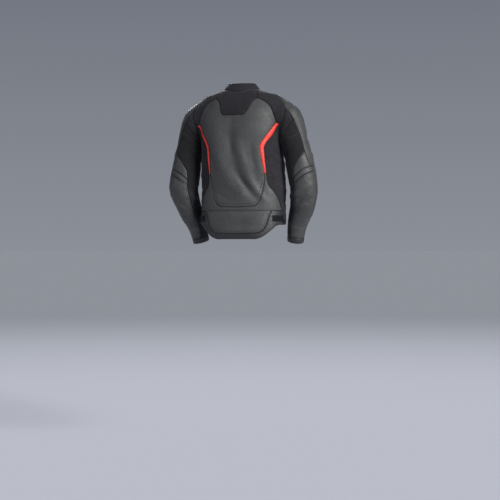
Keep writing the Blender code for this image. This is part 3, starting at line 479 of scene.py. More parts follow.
def rimTrack(skin, step=1.5):
    # dense points along the rim, with the distance travelled and the direction into the panel
    loop = rimLoop(skin)
    points, travelled, into, gone = [], [], [], 0.0
    for vertex, following in zip(loop, loop[1:] + loop[:1]):
        edge = next(e for e in vertex.link_edges if e.other_vert(vertex) is following)
        length = (following.co - vertex.co).length
        way = (following.co - vertex.co).normalized()
        third = edge.link_faces[0].calc_center_median() - vertex.co
        inward = (third - way * third.dot(way)).normalized()
        count = max(int(length / (step * mm)), 1)
        for part in range(count):
            points.append(vertex.co.lerp(following.co, part / count))
            travelled.append(gone + length * part / count)
            into.append(inward)
        gone += length
    return np.array(points), np.array(travelled), np.array(into)


def rowMark(away, cut):
    # 1 on a row of topstitching and 0 beside it, from the distance to the seam in mm
    marks = [bell(away, sewing["rowReach"], row) for row in cut["rows"]]
    return np.max(marks, axis=0) if marks else 0 * away


def quietSeam(points, node):
    # below 1 where the seam over the tail lies flat and hardly shows
    if not node.startswith(("hip_wings", "lower_back")):
        return np.ones(len(points))
    off = np.abs(points[:, 2] / mm - sewing["quietLevel"])
    return 1 - sewing["quietShare"] * np.clip(1.5 - off / sewing["quietReach"], 0, 1)


def shiftedHeight(points, normals, node, away, travelled, cut):
    # how far the finished cloth stands off the form, at a distance from its seam
    points = upright(points)
    onSleeve = node.startswith(sleeveNodes)
    fold = clothHeight(points, normals, onSleeve) * sewing["creaseScale"]
    if cut.get("lift") or node == "zip_tape":
        fold = fold * 0
    if node.startswith("elbow_stretch"):
        fold = fold + ribHeight(points)
    away = away / mm
    travelled = travelled / mm
    puff = cut.get("puff", sewing["puff"]) * (1 - np.exp(-away / sewing["puffReach"]))
    drop = sewing["seamDrop"] * bell(away, sewing["dropReach"])
    shift, slow = sewing["puckerWander"]
    start, end = sewing["puckerReach"]
    turns = 2 * math.pi * travelled / sewing["puckerLength"]
    wave = np.sin(turns + shift * np.sin(travelled / slow))
    pucker = sewing["pucker"] * wave * np.exp(-away / end) * (1 - np.exp(-away / start))
    if not cut["rows"]:
        pucker = pucker * sewing["puckerPlain"]
    dip = sewing["rowDip"] * rowMark(away, cut)
    if "wideRowTop" in cut:
        dip = dip * (points[:, 2] / mm < cut["wideRowTop"])
    quiet = quietSeam(points, node)
    puff, drop, dip, pucker = puff * quiet, drop * quiet, dip * quiet, pucker * quiet
    return fold + (puff - drop - dip + pucker + cut.get("lift", 0.0)) * mm, fold


# The cloth's own directions, mm: the torso's half axes and radius, the shoulders' arc and the
# height that it starts at, and a sleeve's radius
clothSpan = {"axes": (190, 130), "round": 165, "arc": 170, "arcFrom": -200, "sleeve": 60}


def clothGrain(points, node):
    # the cloth's own u and v in metres, round the body and down it
    points = upright(points)
    if node.startswith(sleeveNodes):
        turn, along = sleevePlace(points)[1:]
        middle = math.degrees(math.atan2(np.sin(np.radians(turn)).mean(),
                                         np.cos(np.radians(turn)).mean()))
        turn = (turn - middle + 180) % 360 - 180
        return np.stack([np.radians(turn) * clothSpan["sleeve"] * mm, along * mm], axis=1)
    x, y, z = points.T
    wide, deep = clothSpan["axes"]
    outward = -y if node.startswith(("front", "hem_front", "zip")) else y
    turn = np.arctan2(x / (wide * mm), outward / (deep * mm))
    start = clothSpan["arcFrom"] * mm
    down = start + clothSpan["arc"] * mm * np.arctan2(z - start, np.hypot(x, y))
    return np.stack([turn * clothSpan["round"] * mm, np.where(z > start, down, z)], axis=1)


def addAttributes(mesh, wear, grain, away, level, cut):
    # wear together with a painted highlight along the seams, and the distances in mm from the seam and from
    # the widest row of topstitching, along which the finish paints the shade of their grooves
    row = away - cut["rows"][-1] if cut["rows"] else 0 * away + 99
    if "wideRowTop" in cut:
        row = row + np.maximum(level - cut["wideRowTop"], 0)
    for name, values in (("wear", wear), ("edge", away), ("row", row)):
        attribute = mesh.attributes.new(name, "FLOAT", "POINT")
        attribute.data.foreach_set("value", values.astype(np.float32))
    layer = mesh.uv_layers.new(name="grain")
    corners = np.zeros(len(mesh.loops), np.int32)
    mesh.loops.foreach_get("vertex_index", corners)
    layer.data.foreach_set("uv", grain[corners].astype(np.float32).ravel())


def newPiece(name, mesh, finishes):
    piece = bpy.data.objects.new(name, mesh)
    bpy.context.scene.collection.objects.link(piece)
    for finish in finishes:
        mesh.materials.append(finish)
    return piece


def meshPiece(name, verts, faces, finish):
    # a piece of the jacket's body that is written out point by point
    mesh = bpy.data.meshes.new(name)
    mesh.from_pydata(verts, [], faces)
    mesh.update()
    piece = newPiece(name, mesh, [finish])
    fixNormals(piece)
    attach(piece, jacket)
    return piece


def selectOnly(piece):
    bpy.ops.object.select_all(action="DESELECT")
    piece.select_set(True)
    bpy.context.view_layer.objects.active = piece


def applyModifier(piece, kind, **settings):
    modifier = piece.modifiers.new(kind.title(), kind)
    for key, value in settings.items():
        setattr(modifier, key, value)
    selectOnly(piece)
    bpy.ops.object.modifier_apply(modifier=modifier.name)


def fixNormals(piece):
    shape = bmesh.new()
    shape.from_mesh(piece.data)
    bmesh.ops.recalc_face_normals(shape, faces=shape.faces)
    shape.to_mesh(piece.data)
    shape.free()


# How a panel's box is held to its area: never smaller, and shortened where little of it is filled
boxLimits = {"over": 1.02, "filled": (0.32, 0.34), "margin": 2}


def flatCut(piece):
    # the size that a panel was cut to: its box in the cloth's own directions, and its area
    mesh = piece.data
    grain = np.zeros(len(mesh.loops) * 2, np.float32)
    mesh.uv_layers["grain"].data.foreach_get("uv", grain)
    grain = grain.reshape(-1, 2)
    area = sum(p.area for p in mesh.polygons)
    width, length = np.ptp(grain, axis=0) + boxLimits["margin"] * mm
    least, filled = boxLimits["filled"]
    if area > width * length:
        length = area / width * boxLimits["over"]
    if area < least * width * length:
        length = area / filled / width
    return (float(width), float(length)), float(area)


cutSheets = {}


def finishSheet(piece, node, wall):
    # gives the cloth its thickness and its lining side, and notes the size that it was cut to
    flat, area = flatCut(piece)
    applyModifier(piece, "SOLIDIFY", thickness=wall * mm, offset=-1.0,
                  material_offset=1, material_offset_rim=0, use_quality_normals=True)
    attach(piece, jacket)
    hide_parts(node)
    cutSheets[piece.name] = (round(flat[0], 3), round(flat[1], 3), round(area, 4))


def sewPanel(name, node, cut, skin, cornerTree, finishes):
    for _ in range(cut.get("detail", 3)):
        halveTriangles(skin, cornerTree)
    skin.verts.ensure_lookup_table()
    places, normals = ontoForm(np.array([v.co for v in skin.verts]))
    for vertex, place in zip(skin.verts, places):
        vertex.co = place
    points, travelled, into = rimTrack(skin)
    tree = treeOf(points)
    found = [tree.find(p) for p in places]
    away = np.array([f[2] for f in found])
    near = travelled[[f[1] for f in found]]
    height, fold = shiftedHeight(places, normals, node, away, near, cut)
    lifted = places + normals * height[:, None]
    for vertex, place in zip(skin.verts, lifted):
        vertex.co = place
    mesh = bpy.data.meshes.new(name)
    skin.to_mesh(mesh)
    skin.free()
    mesh.shade_smooth()
    strength, middle, half = sewing["wear"]
    most, full = sewing["wearFold"]
    # lighter along the seam, as rubbing and as a painted highlight, and lighter on crease crests as rubbing
    wear = strength * bell(away / mm, half, middle) + np.clip(fold / (full * mm), 0, most)
    # the flat seam over the tail also loses most of its painted shade and painted highlight
    quiet = quietSeam(upright(places), node)
    addAttributes(mesh, np.clip(wear * quiet, 0, 1), clothGrain(places, node),
                  away / mm / np.maximum(quiet, 0.1), places[:, 2] / mm, cut)
    finishSheet(newPiece(name, mesh, finishes), node, sewing["wall"])
    rows = stitchRows(points, travelled, into, tree, node, cut)
    return rows, (node, points, travelled, into)


# One stitch of thread, mm, with the shares that its body fills, that lies under it and that
# keeps it clear of other seams
stitch = {"length": 2.9, "pitch": 3.7, "thick": 0.36, "sunk": 0.1, "body": 0.62, "under": 0.6,
          "clear": 0.94}


def stitchRows(points, travelled, into, tree, node, cut):
    # middles, directions and normals of the stitches that run beside a panel's seam
    rows = []
    total = travelled[-1]
    for distance in cut["rows"]:
        count = int(total / (stitch["pitch"] * mm))
        at = (np.arange(count) + 0.5) * total / count
        index = np.searchsorted(travelled, at).clip(1, len(points) - 1)
        start = points[index - 1]
        way = unit(points[index] - start)
        place = start + way * (at - travelled[index - 1])[:, None] + into[index - 1] * distance * mm
        place, normal = ontoForm(place, 2)
        clear = np.array([tree.find(p)[2] for p in place]) > distance * mm * stitch["clear"]
        if distance == cut["rows"][-1]:
            clear &= place[:, 2] < cut.get("wideRowTop", 1000) * mm
        place, normal, way = place[clear], normal[clear], way[clear]
        if not len(place):
            continue
        height, _ = shiftedHeight(place, normal, node, np.full(len(place), distance * mm),
                                  at[clear], cut)
        place = place + normal * height[:, None]
        rows.append(np.stack([place, way, normal], axis=1))
    return np.vstack(rows) if rows else np.zeros((0, 3, 3))


def layThread(name, rows, finish):
    # all the stitches of a zone as one mesh, each a small sunk-ended bar of thread
    half, thick = stitch["length"] / 2 * mm, stitch["thick"] * mm
    middle, way, normal = rows[:, 0], rows[:, 1], rows[:, 2]
    side = unit(np.cross(normal, way))
    way = np.cross(side, normal)
    base = middle - normal * stitch["sunk"] * mm
    corners = [base - way * half - normal * thick, base + way * half - normal * thick]
    for end in (-stitch["body"], stitch["body"]):
        for across, up in ((1, 0), (0, 1), (-1, 0), (0, -stitch["under"])):
            corners.append(base + way * half * end + (side * across + normal * up) * thick)
    verts = np.stack(corners, axis=1).reshape(-1, 3)
    faces = []
    for s in range(len(rows)):
        o = s * 10
        for k in range(4):
            a, b = o + 2 + k, o + 2 + (k + 1) % 4
            c, d = o + 6 + (k + 1) % 4, o + 6 + k
            faces += [(a, b, c, d), (o, b, a), (o + 1, d, c)]
    meshPiece(name, verts.tolist(), faces, finish).data.shade_smooth()


# Finishes: colours are linear RGB, sizes are in mm. The worn colour is laid as rubbing on crease crests, and
# along the seams as rubbing together with a painted highlight.
finishes = {
    "greyLeather": {"dark": (0.036, 0.036, 0.036), "light": (0.068, 0.068, 0.067),
                    "worn": (0.105, 0.105, 0.103), "grain": 1.5, "roughness": (0.46, 0.60),
                    "sheen": 0.03, "specular": 0.38},
    "blackLeather": {"dark": (0.013, 0.013, 0.015), "light": (0.030, 0.030, 0.034),
                     "worn": (0.055, 0.055, 0.060), "grain": 1.3, "roughness": (0.42, 0.55),
                     "sheen": 0.03, "specular": 0.4},
    "redLeather": {"dark": (0.80, 0.030, 0.018), "light": (0.96, 0.062, 0.036),
                   "worn": (0.97, 0.13, 0.09), "grain": 1.3, "roughness": (0.42, 0.55),
                   "sheen": 0.0},
    "stretchCloth": {"dark": (0.009, 0.0085, 0.011), "light": (0.026, 0.0245, 0.030),
                     "worn": (0.042, 0.041, 0.048), "weave": 1.6, "roughness": (0.72, 0.90),
                     "sheen": 0.08, "specular": 0.25},
    "liningMesh": {"dark": (0.008, 0.008, 0.009), "light": (0.022, 0.022, 0.024),
                   "worn": (0.035, 0.035, 0.037), "weave": 2.6, "roughness": (0.80, 0.95),
                   "sheen": 0.10, "specular": 0.2},
    "tapeCloth": {"dark": (0.005, 0.005, 0.006), "light": (0.013, 0.013, 0.015),
                  "worn": (0.030, 0.030, 0.032), "weave": 1.2, "roughness": (0.70, 0.85),
                  "sheen": 0.08, "specular": 0.25},
    "webbingCloth": {"dark": (0.002, 0.002, 0.0024), "light": (0.007, 0.007, 0.008),
                     "worn": (0.020, 0.020, 0.022), "weave": 2.2, "roughness": (0.62, 0.80),
                     "sheen": 0.03, "specular": 0.15},
    "charcoalThread": {"dark": (0.012, 0.012, 0.013), "light": (0.034, 0.034, 0.036),
                       "worn": (0.09, 0.09, 0.09), "grain": 0.5, "roughness": (0.45, 0.60),
                       "sheen": 0.10},
    "darkMetal": {"dark": (0.060, 0.060, 0.066), "light": (0.120, 0.120, 0.128),
                  "worn": (0.30, 0.30, 0.31), "grain": 0.4, "roughness": (0.25, 0.42),
                  "sheen": 0.0, "metallic": 0.9, "sewn": False},
    "darkPlastic": {"dark": (0.008, 0.008, 0.009), "light": (0.016, 0.016, 0.018),
                    "worn": (0.050, 0.050, 0.052), "grain": 0.7, "roughness": (0.22, 0.36),
                    "sheen": 0.0, "sewn": False},
}


# Scale and detail of each noise, depth in mm and strength of each layer of relief, and half
# width in mm and darkness of the painted shade laid along the grooves of seams and rows of topstitching
patterns = {"patches": (9, 3), "mottle": (85, 4), "rub": (240, 4), "creases": (38, 6),
            "pores": (1900, 2), "gloss": (55, 3)}
reliefs = {"clothCrease": (2.0, 0.45), "weave": (0.35, 0.55), "leatherCrease": (2.2, 0.55),
           "cells": (0.16, 0.50), "pores": (0.05, 0.4), "row": (0.7, 0.8)}
paintedGrooveShade = {"edge": (1.7, 0.85), "row": (1.25, 0.60)}
waveScale = 0.3142   # a wave texture of this scale repeats once in a metre


def addNode(tree, kind, inputs, **settings):
    # a shader node: another node's output is linked to its input, any other value is set there
    node = tree.nodes.new(kind)
    for key, value in settings.items():
        setattr(node, key, value)
    for key, value in inputs.items():
        if isinstance(value, bpy.types.NodeSocket):
            tree.links.new(value, node.inputs[key])
        else:
            node.inputs[key].default_value = value
    return node


def blendColors(tree, amount, *colors):
    first, second = [(*c, 1) if isinstance(c, tuple) else c for c in colors]
    inputs = {0: amount, 6: first, 7: second}
    return addNode(tree, "ShaderNodeMix", inputs, data_type="RGBA").outputs[2]


def newMaterial(name, inputs):
    # a material with its node tree and shader
    material = bpy.data.materials.new(name)
    material.use_nodes = True
    shader = material.node_tree.nodes["Principled BSDF"]
    for key, value in inputs.items():
        shader.inputs[key].default_value = value
    return material, material.node_tree, shader


def makeFinish(name):
    look = finishes[name]
    material, tree, shader = newMaterial(name, {
        "Metallic": look.get("metallic", 0.0), "Sheen Weight": look["sheen"],
        "Specular IOR Level": look.get("specular", 0.5)})
    place = tree.nodes.new("ShaderNodeTexCoord").outputs["Object"]

    def noise(pattern, kind="FBM", source=place):
        scale, detail = patterns[pattern]
        inputs = {"Scale": scale, "Detail": detail, "Vector": source}
        return addNode(tree, "ShaderNodeTexNoise", inputs, noise_type=kind).outputs["Fac"]

    def ramp(source, low, high, first=0, second=1):
        inputs = {"From Min": low, "From Max": high, "To Min": first, "To Max": second,
                  "Value": source}
        return addNode(tree, "ShaderNodeMapRange", inputs).outputs["Result"]

    def calculate(operation, a, b):
        node = addNode(tree, "ShaderNodeMath", {0: a, 1: b}, operation=operation)
        return node.outputs["Value"]

    def times(a, b):
        return calculate("MULTIPLY", a, b)

    def bump(height, relief, before=None):
        distance, strength = reliefs[relief]
        inputs = {"Distance": distance * mm, "Strength": strength, "Height": height}
        if before:
            inputs["Normal"] = before
        return addNode(tree, "ShaderNodeBump", inputs).outputs["Normal"]

    def attribute(key):
        return addNode(tree, "ShaderNodeAttribute", {}, attribute_name=key).outputs["Fac"]

    tone = calculate("ADD", times(ramp(noise("patches"), 0.32, 0.68), 0.6),
                     times(ramp(noise("mottle"), 0.3, 0.7), 0.4))
    # blends towards the worn colour: rubbing on crests, and rubbing with a painted highlight along the
    # seams, broken up by the rub noise
    rubbedAndHighlit = times(attribute("wear"), ramp(noise("rub"), 0.42, 0.66, 0, 0.75))
    stretched = addNode(tree, "ShaderNodeMapping", {"Scale": (1.0, 1.0, 2.2), "Vector": place})
    creased = noise("creases", "RIDGED_MULTIFRACTAL", stretched.outputs["Vector"])
    creased = ramp(creased, 0.25, 1.1)
    if "weave" in look:
        grain = addNode(tree, "ShaderNodeUVMap", {}, uv_map="grain").outputs["UV"]
        inputs = {"Scale": waveScale / (look["weave"] * mm), "Vector": grain}
        weft, warp = [addNode(tree, "ShaderNodeTexWave", inputs, bands_direction=way)
                      for way in ("X", "Y")]
        threads = times(weft.outputs["Fac"], warp.outputs["Fac"])
        tone = times(tone, ramp(threads, 0, 1, 0.45))
        surface = bump(threads, "weave", bump(creased, "clothCrease"))
    else:
        inputs = {"Scale": 1 / (look["grain"] * mm), "Vector": place}
        cells = addNode(tree, "ShaderNodeTexVoronoi", inputs, feature="DISTANCE_TO_EDGE")
        cells = ramp(cells.outputs["Distance"], 0.0, 0.32)
        tone = times(tone, ramp(cells, 0, 0.6, 0.72))
        surface = bump(cells, "cells", bump(creased, "leatherCrease"))
        surface = bump(noise("pores"), "pores", surface)
    color = blendColors(tree, tone, look["dark"], look["light"])
    color = blendColors(tree, rubbedAndHighlit, color, look["worn"])
    if look.get("sewn", True):
        # the colour of the painted shade in the grooves of seams and rows; a piece that carries no seam
        # distances, such as the threads, the collar binding and the seam allowance strips, takes this
        # painted shade all over
        deep = tuple(c * 0.35 for c in look["dark"])
        for key, (width, darkness) in paintedGrooveShade.items():
            # 1 on the sewn line and 0 beside it, from the distance to it in mm; there the colour darkens as
            # painted shade of the groove
            near = calculate("DIVIDE", attribute(key), width)
            mark = calculate("POWER", 2.718, times(times(near, near), -1.0))
            color = blendColors(tree, times(mark, darkness), color, deep)
        surface = bump(times(mark, -1.0), "row", surface)
    gloss = ramp(noise("gloss"), 0.3, 0.7, *look["roughness"])
    for source, key in ((color, "Base Color"), (gloss, "Roughness"), (surface, "Normal")):
        tree.links.new(source, shader.inputs[key])
    return material


made = {name: makeFinish(name) for name in finishes}
print("finishes ready:", len(made))

# Corners of all the seams, shared by the panels that meet there
skins = {}
cornerPoints = []
for name, cut in panels.items():
    for suffix, ending in (("", ""), ("_left", "Left"), ("_right", "Right")):
        if cut["node"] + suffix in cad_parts:
            skin = outerSkin(cut["node"] + suffix)
            skins[name + ending] = (cut["node"] + suffix, cut, skin)
            places = np.array([v.co for v in rimLoop(skin)])
            cornerPoints += list(places[turnAngles(places) > sewing["cornerAngle"]])
cornerTree = treeOf(cornerPoints)
print("panels cut:", len(skins))

zones = {"Torso": [], "SleeveLeft": [], "SleeveRight": []}
rims = {zone: [] for zone in zones}
for name, (node, cut, skin) in skins.items():
    rows, rim = sewPanel(name, node, cut, skin, cornerTree,
                         [made[cut["cloth"]], made["liningMesh"]])
    zone = "Torso"
    if node.startswith(sleeveNodes):
        zone = "SleeveLeft" if node.endswith("left") else "SleeveRight"
    zones[zone].append(rows)
    if "lift" not in cut:
        rims[zone].append(rim)
for zone, rows in zones.items():
    layThread("topstitching" + zone, np.vstack(rows), made["charcoalThread"])
print("panels sewn; stitches:", sum(len(r) for rows in zones.values() for r in rows))

# The allowances under the seams, which back them on the inside, mm
allowance = {"half": 4.5, "deep": 2.0, "thick": 0.5, "every": 2, "reach": 3.5, "apart": 40,
             "bridge": 14, "trim": 2}


def joinedPoints(track, rim, tree, everyPoint):
    # true where the rim is sewn to another panel, or to its own far end
    points, travelled = rim[1], rim[2]

    def meets(i, index):
        other, at = everyPoint[index][1:]
        if other != track:
            return True
        between = abs(travelled[at] - travelled[i])
        return min(between, travelled[-1] - between) > allowance["apart"] * mm

    return [any(meets(i, index) for _, index, _ in tree.find_range(point, allowance["reach"] * mm))
            for i, point in enumerate(points)]


def sewnRuns(joined, travelled):
    # stretches of joined points, with the short breaks at the corners bridged
    runs = []
    for i, meets in enumerate(joined):
        if not meets:
            continue
        if runs and travelled[i] - travelled[runs[-1][-1]] < allowance["bridge"] * mm:
            runs[-1] += range(runs[-1][-1] + 1, i + 1)
        else:
            runs.append([i])
    trim, every = allowance["trim"], allowance["every"]
    return [run[trim:-trim:every] for run in runs if len(run) > 2 * trim + 3 * every]


def layAllowances(zone, tracks, tree, everyPoint, first):
    # a flat closed strip under each seam of a zone
    verts, faces = [], []
    for track, rim in enumerate(tracks, first):
        node, points, travelled, into = rim
        for run in sewnRuns(joinedPoints(track, rim, tree, everyPoint), travelled):
            ring = []
            for across in (-1, 0, 1):
                place = points[run] + into[run] * across * allowance["half"] * mm
                place, normal = ontoForm(place, 2)
                fold = clothHeight(upright(place), normal, node.startswith(sleeveNodes))
                for deep in (allowance["deep"], allowance["deep"] + allowance["thick"]):
                    height = fold * sewing["creaseScale"] - deep * mm
                    ring.append(place + normal * height[:, None])
            ring = np.stack([ring[k] for k in (0, 2, 4, 5, 3, 1)], axis=1)
            o = len(verts)
            verts += ring.reshape(-1, 3).tolist()
            for s in range(len(run) - 1):
                for k in range(6):
                    a, b = o + 6 * s + k, o + 6 * s + (k + 1) % 6
                    faces.append((a, b, b + 6, a + 6))
            faces.append(tuple(range(o + 5, o - 1, -1)))
            faces.append(tuple(range(len(verts) - 6, len(verts))))
    # the strips carry no seam distances, so their finish paints them dark with the grooves' painted shade
    meshPiece("seamAllowance" + zone, verts, faces, made["stretchCloth"])
    return len(faces)


tracks = [rim for zone in zones for rim in rims[zone]]
everyPoint = [(point, track, i) for track, rim in enumerate(tracks)
              for i, point in enumerate(rim[1])]
tree = treeOf([point for point, _, _ in everyPoint])
first, strips = 0, 0
for zone in zones:
    strips += layAllowances(zone, rims[zone], tree, everyPoint, first)
    first += len(rims[zone])
print("allowances under the seams, faces:", strips)

# The stand collar: a thicker wall with a rolled binding round its free edges
collarCut = {"wall": 3.2, "radius": 68, "rows": (4.5,), "wear": (0.7, 2, 3),
             "wave": 0.5, "waveLength": 47, "waveRise": 19, "waveFrom": 12,
             "sunk": 2.6, "sunkReach": 4,   # the neck seam sinks into the cloth below
             "bindingRadius": 2.0, "bindingInset": 1.4, "middle": 8}


def sewCollar(neckTree):
    skin = outerSkin("collar")
    bmesh.ops.join_triangles(skin, faces=skin.faces[:], angle_face_threshold=1.0,
                             angle_shape_threshold=1.5)
    mesh = bpy.data.meshes.new("standCollar")
    skin.to_mesh(mesh)
    skin.free()
    piece = newPiece("standCollar", mesh, [made["stretchCloth"], made["liningMesh"]])
    applyModifier(piece, "SUBSURF", levels=3, render_levels=3,
                  boundary_smooth="PRESERVE_CORNERS")
    mesh.shade_smooth()
    rim = bmesh.new()
    rim.from_mesh(mesh)
    tree = treeOf(rimTrack(rim)[0])
    loop = np.array([v.co for v in rimLoop(rim)])
    rim.free()
    places = np.array([v.co for v in mesh.vertices])
    normals = np.array([v.normal for v in mesh.vertices])
    away = np.array([tree.find(p)[2] for p in places])
    turn = np.arctan2(places[:, 0], places[:, 1])
    radius = collarCut["radius"]
    rise = places[:, 2] / (collarCut["waveRise"] * mm)
    wave = np.sin(turn * radius / collarCut["waveLength"] * 2 * math.pi + rise)
    wave = wave * collarCut["wave"] * mm * np.clip(away / (collarCut["waveFrom"] * mm), 0, 1)
    toNeck = np.array([neckTree.find(p)[2] for p in places])
    places[:, 2] -= collarCut["sunk"] * mm * bell(toNeck, collarCut["sunkReach"] * mm)
    mesh.vertices.foreach_set("co", (places + normals * wave[:, None]).astype(np.float32).ravel())
    # a lighter line along the collar's rim: rubbing together with a painted highlight
    strength, middle, half = collarCut["wear"]
    wear = bell(away / mm, half, middle) * strength
    grain = np.stack([turn * radius * mm, places[:, 2]], axis=1)
    addAttributes(mesh, wear, grain, away / mm, 0 * away, collarCut)
    finishSheet(piece, "collar", collarCut["wall"])
    rollBinding(loop)


def rollBinding(loop):
    # a tube along the collar's top and front edges: the rim but for its neck seam
    turning = turnAngles(loop)
    corners = sorted(np.argsort(turning)[-4:])
    stretches = []
    for k in range(4):
        a, b = corners[k], corners[(k + 1) % 4]
        stretches.append([i % len(loop) for i in range(a, b + 1 if b > a else b + 1 + len(loop))])
    longest = sorted(range(4), key=lambda k: -len(stretches[k]))[:2]
    seam = min(longest, key=lambda k: loop[stretches[k]][:, 2].mean())
    path = []
    for k in range(1, 4):
        path += stretches[(seam + k) % 4][1 if path else 0:]
    line = loop[path]
    curve = bpy.data.curves.new("collarBinding", "CURVE")
    curve.dimensions = "3D"
    curve.bevel_depth = collarCut["bindingRadius"] * mm
    curve.bevel_resolution = 3
    curve.use_fill_caps = True
    spline = curve.splines.new("POLY")
    spline.points.add(len(line) - 1)
    for point, place in zip(spline.points, line):
        inward = -Vector((place[0] - collarCut["middle"] * mm, place[1], 0)).normalized()
        inward = inward * collarCut["bindingInset"] * mm
        point.co = (*(Vector(place) + inward), 1)
    selectOnly(newPiece("collarBinding", curve, [made["blackLeather"]]))
    bpy.ops.object.convert(target="MESH")
    binding = bpy.context.object
    binding.data.shade_smooth()
    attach(binding, jacket)


sewCollar(tree)
print("collar sewn")

# The front zip's teeth: sizes in mm, and the heights that they run between. Their bevel takes
# the share "bevelTall" of its width off their height.
zipTeeth = {"pitch": 2.7, "wide": 3.4, "tall": 1.5, "raised": 1.5, "offset": 1.0,
            "bevel": 0.4, "bevelTall": 0.6, "top": -33, "base": -550}


def setTeeth():
    heights = np.arange(zipTeeth["base"], zipTeeth["top"], zipTeeth["pitch"] / 2)
    front = -np.interp(heights, torsoLevels, torsoSizes[2])
    start = np.stack([0 * heights, front, heights * mm], axis=1)
    start[:, 0] = swayShift(start)
    places, normals = ontoForm(start, 2)
    across = np.array([1.0, 0.0, 0.0])
    verts, faces = [], []
    half, top, bevel = zipTeeth["wide"] / 2, zipTeeth["raised"], zipTeeth["bevel"]
    for i, (place, normal) in enumerate(zip(places, normals)):
        up = np.cross(normal, across)
        side = zipTeeth["offset"] * (1 if i % 2 else -1)
        base = len(verts)
        for lift, shrink in ((0.0, 0.0), (top - bevel, 0.0), (top, bevel)):
            for x, z in ((-1, -1), (1, -1), (1, 1), (-1, 1)):
                move = across * (side + x * (half - shrink)) + normal * lift
                tall = zipTeeth["tall"] / 2 - shrink * zipTeeth["bevelTall"]
                verts.append(tuple(place + (move + up * z * tall) * mm))
        for ring in (0, 4):
            for k in range(4):
                a, b = base + ring + k, base + ring + (k + 1) % 4
                faces.append((a, b, b + 4, a + 4))
        faces.append(tuple(base + 8 + k for k in range(4)))
        faces.append(tuple(base + k for k in (3, 2, 1, 0)))
    meshPiece("zipTeeth", verts, faces, made["darkPlastic"])


def finerCopy(name, node, body, finish, bevel=None, smooth=0):
    # a hard piece's own mesh, merged, with rounded edges or a rounder section
    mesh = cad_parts[node].data.copy()
    mesh.name = name
    mesh.materials.clear()
    shape = bmesh.new()
    shape.from_mesh(mesh)
    bmesh.ops.remove_doubles(shape, verts=shape.verts, dist=0.01 * mm)
    bmesh.ops.dissolve_limit(shape, angle_limit=math.radians(2), verts=shape.verts,
                             edges=shape.edges)
    shape.to_mesh(mesh)
    shape.free()
    piece = newPiece(name, mesh, [finish])
    if bevel:
        applyModifier(piece, "BEVEL", width=bevel * mm, segments=2, limit_method="ANGLE")
        mesh.shade_flat()
    if smooth:
        applyModifier(piece, "SUBSURF", levels=smooth, render_levels=smooth)
        mesh.shade_smooth()
    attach(piece, body)
    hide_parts(node)


setTeeth()
finerCopy("zipSlider", "zip_slider", jacket, made["darkMetal"], bevel=0.35)
finerCopy("zipPull", "zip_pull", "pull_tab", made["darkMetal"], bevel=0.3)
for side, ending in (("left", "Left"), ("right", "Right")):
    finerCopy("strapRing" + ending, "strap_ring_" + side, jacket, made["darkPlastic"],
              smooth=2)
print("zip and rings finished")


# The place for the picture: a pale floor, soft lamps and a camera behind the wearer's right
studio = {
    "floorHeight": -1.585,
    "floorSize": 2000,
    "floorRoughness": 0.8,
    "floorColor": (0.47, 0.48, 0.53),
    "farColor": (0.253, 0.266, 0.288),
    "fade": (2.5, 13),   # the floor turns from one to the other over these distances
    "azimuth": 196.0,
    "distance": 5.5,
    "cameraHeight": -0.663,
    "aside": 0.0274,
    "lens": 91.0,
    "filmWidth": 36,
    "skyLow": (0.27, 0.285, 0.32),
    "skyHigh": (0.10, 0.115, 0.15),
    "skyBand": (-0.02, 0.35),   # the sky turns from one to the other between these slopes
    "suns": [   # name, where it shines from, softness in degrees, strength
        ("keySun", (-1.65, 1.0, 0.85), 24, 4.1),
        ("fillSun", (2.4, 1.4, 1.0), 35, 0.3),
        ("frontSun", (0.9, -2.0, 1.3), 25, 2.4),
    ],
}


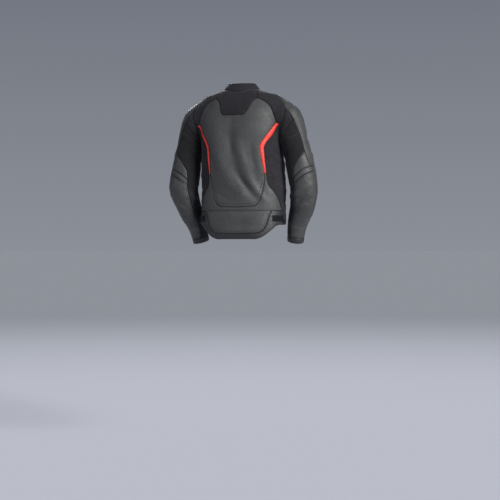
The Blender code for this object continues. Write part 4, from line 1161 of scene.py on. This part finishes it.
def layFloor():
    bpy.ops.object.select_all(action="DESELECT")
    bpy.ops.mesh.primitive_plane_add(size=studio["floorSize"],
                                     location=(0, 0, studio["floorHeight"]))
    floor = bpy.context.object
    floor.name = "paleFloor"
    paint, tree, shader = newMaterial("palePaint", {"Roughness": studio["floorRoughness"],
                                                    "Specular IOR Level": 0.0})
    place = tree.nodes.new("ShaderNodeTexCoord").outputs["Object"]
    length = addNode(tree, "ShaderNodeVectorMath", {0: place}, operation="LENGTH")
    near, far = studio["fade"]
    inputs = {"Value": length.outputs["Value"], "From Min": near, "From Max": far}
    fade = addNode(tree, "ShaderNodeMapRange", inputs, interpolation_type="SMOOTHSTEP")
    tone = blendColors(tree, fade.outputs["Result"], studio["floorColor"], studio["farColor"])
    tree.links.new(tone, shader.inputs["Base Color"])
    floor.data.materials.append(paint)
    bpy.ops.object.transform_apply(location=True)


def paintSky():
    world = bpy.data.worlds.new("softStudio")
    bpy.context.scene.world = world
    world.use_nodes = True
    tree = world.node_tree
    place = tree.nodes.new("ShaderNodeTexCoord").outputs["Generated"]
    parts = addNode(tree, "ShaderNodeSeparateXYZ", {"Vector": place})
    low, high = studio["skyBand"]
    inputs = {"Value": parts.outputs["Z"], "From Min": low, "From Max": high}
    rise = addNode(tree, "ShaderNodeMapRange", inputs).outputs["Result"]
    sky = blendColors(tree, rise, studio["skyLow"], studio["skyHigh"])
    tree.links.new(sky, tree.nodes["Background"].inputs["Color"])


def setLampsAndCamera():
    bpy.context.scene.view_settings.view_transform = "Standard"
    for name, place, softness, strength in studio["suns"]:
        bpy.ops.object.light_add(type="SUN", location=place)
        sun = bpy.context.object
        sun.name = name
        sun.data.angle = math.radians(softness)
        sun.data.energy = strength
        sun.rotation_euler = Vector(place).to_track_quat("Z", "Y").to_euler()
    turn = math.radians(studio["azimuth"])
    outward = Vector((math.sin(turn), -math.cos(turn), 0))
    rightward = Vector((math.cos(turn), math.sin(turn), 0))
    place = outward * studio["distance"] + rightward * studio["aside"]
    place.z = studio["cameraHeight"]
    bpy.ops.object.camera_add(location=place, rotation=(math.radians(90), 0, turn))
    camera = bpy.context.object
    camera.data.lens = studio["lens"]
    camera.data.sensor_width = studio["filmWidth"]
    bpy.context.scene.camera = camera


layFloor()
paintSky()
setLampsAndCamera()
print("sheets, cut width and length in m and area in m2:", cutSheets)
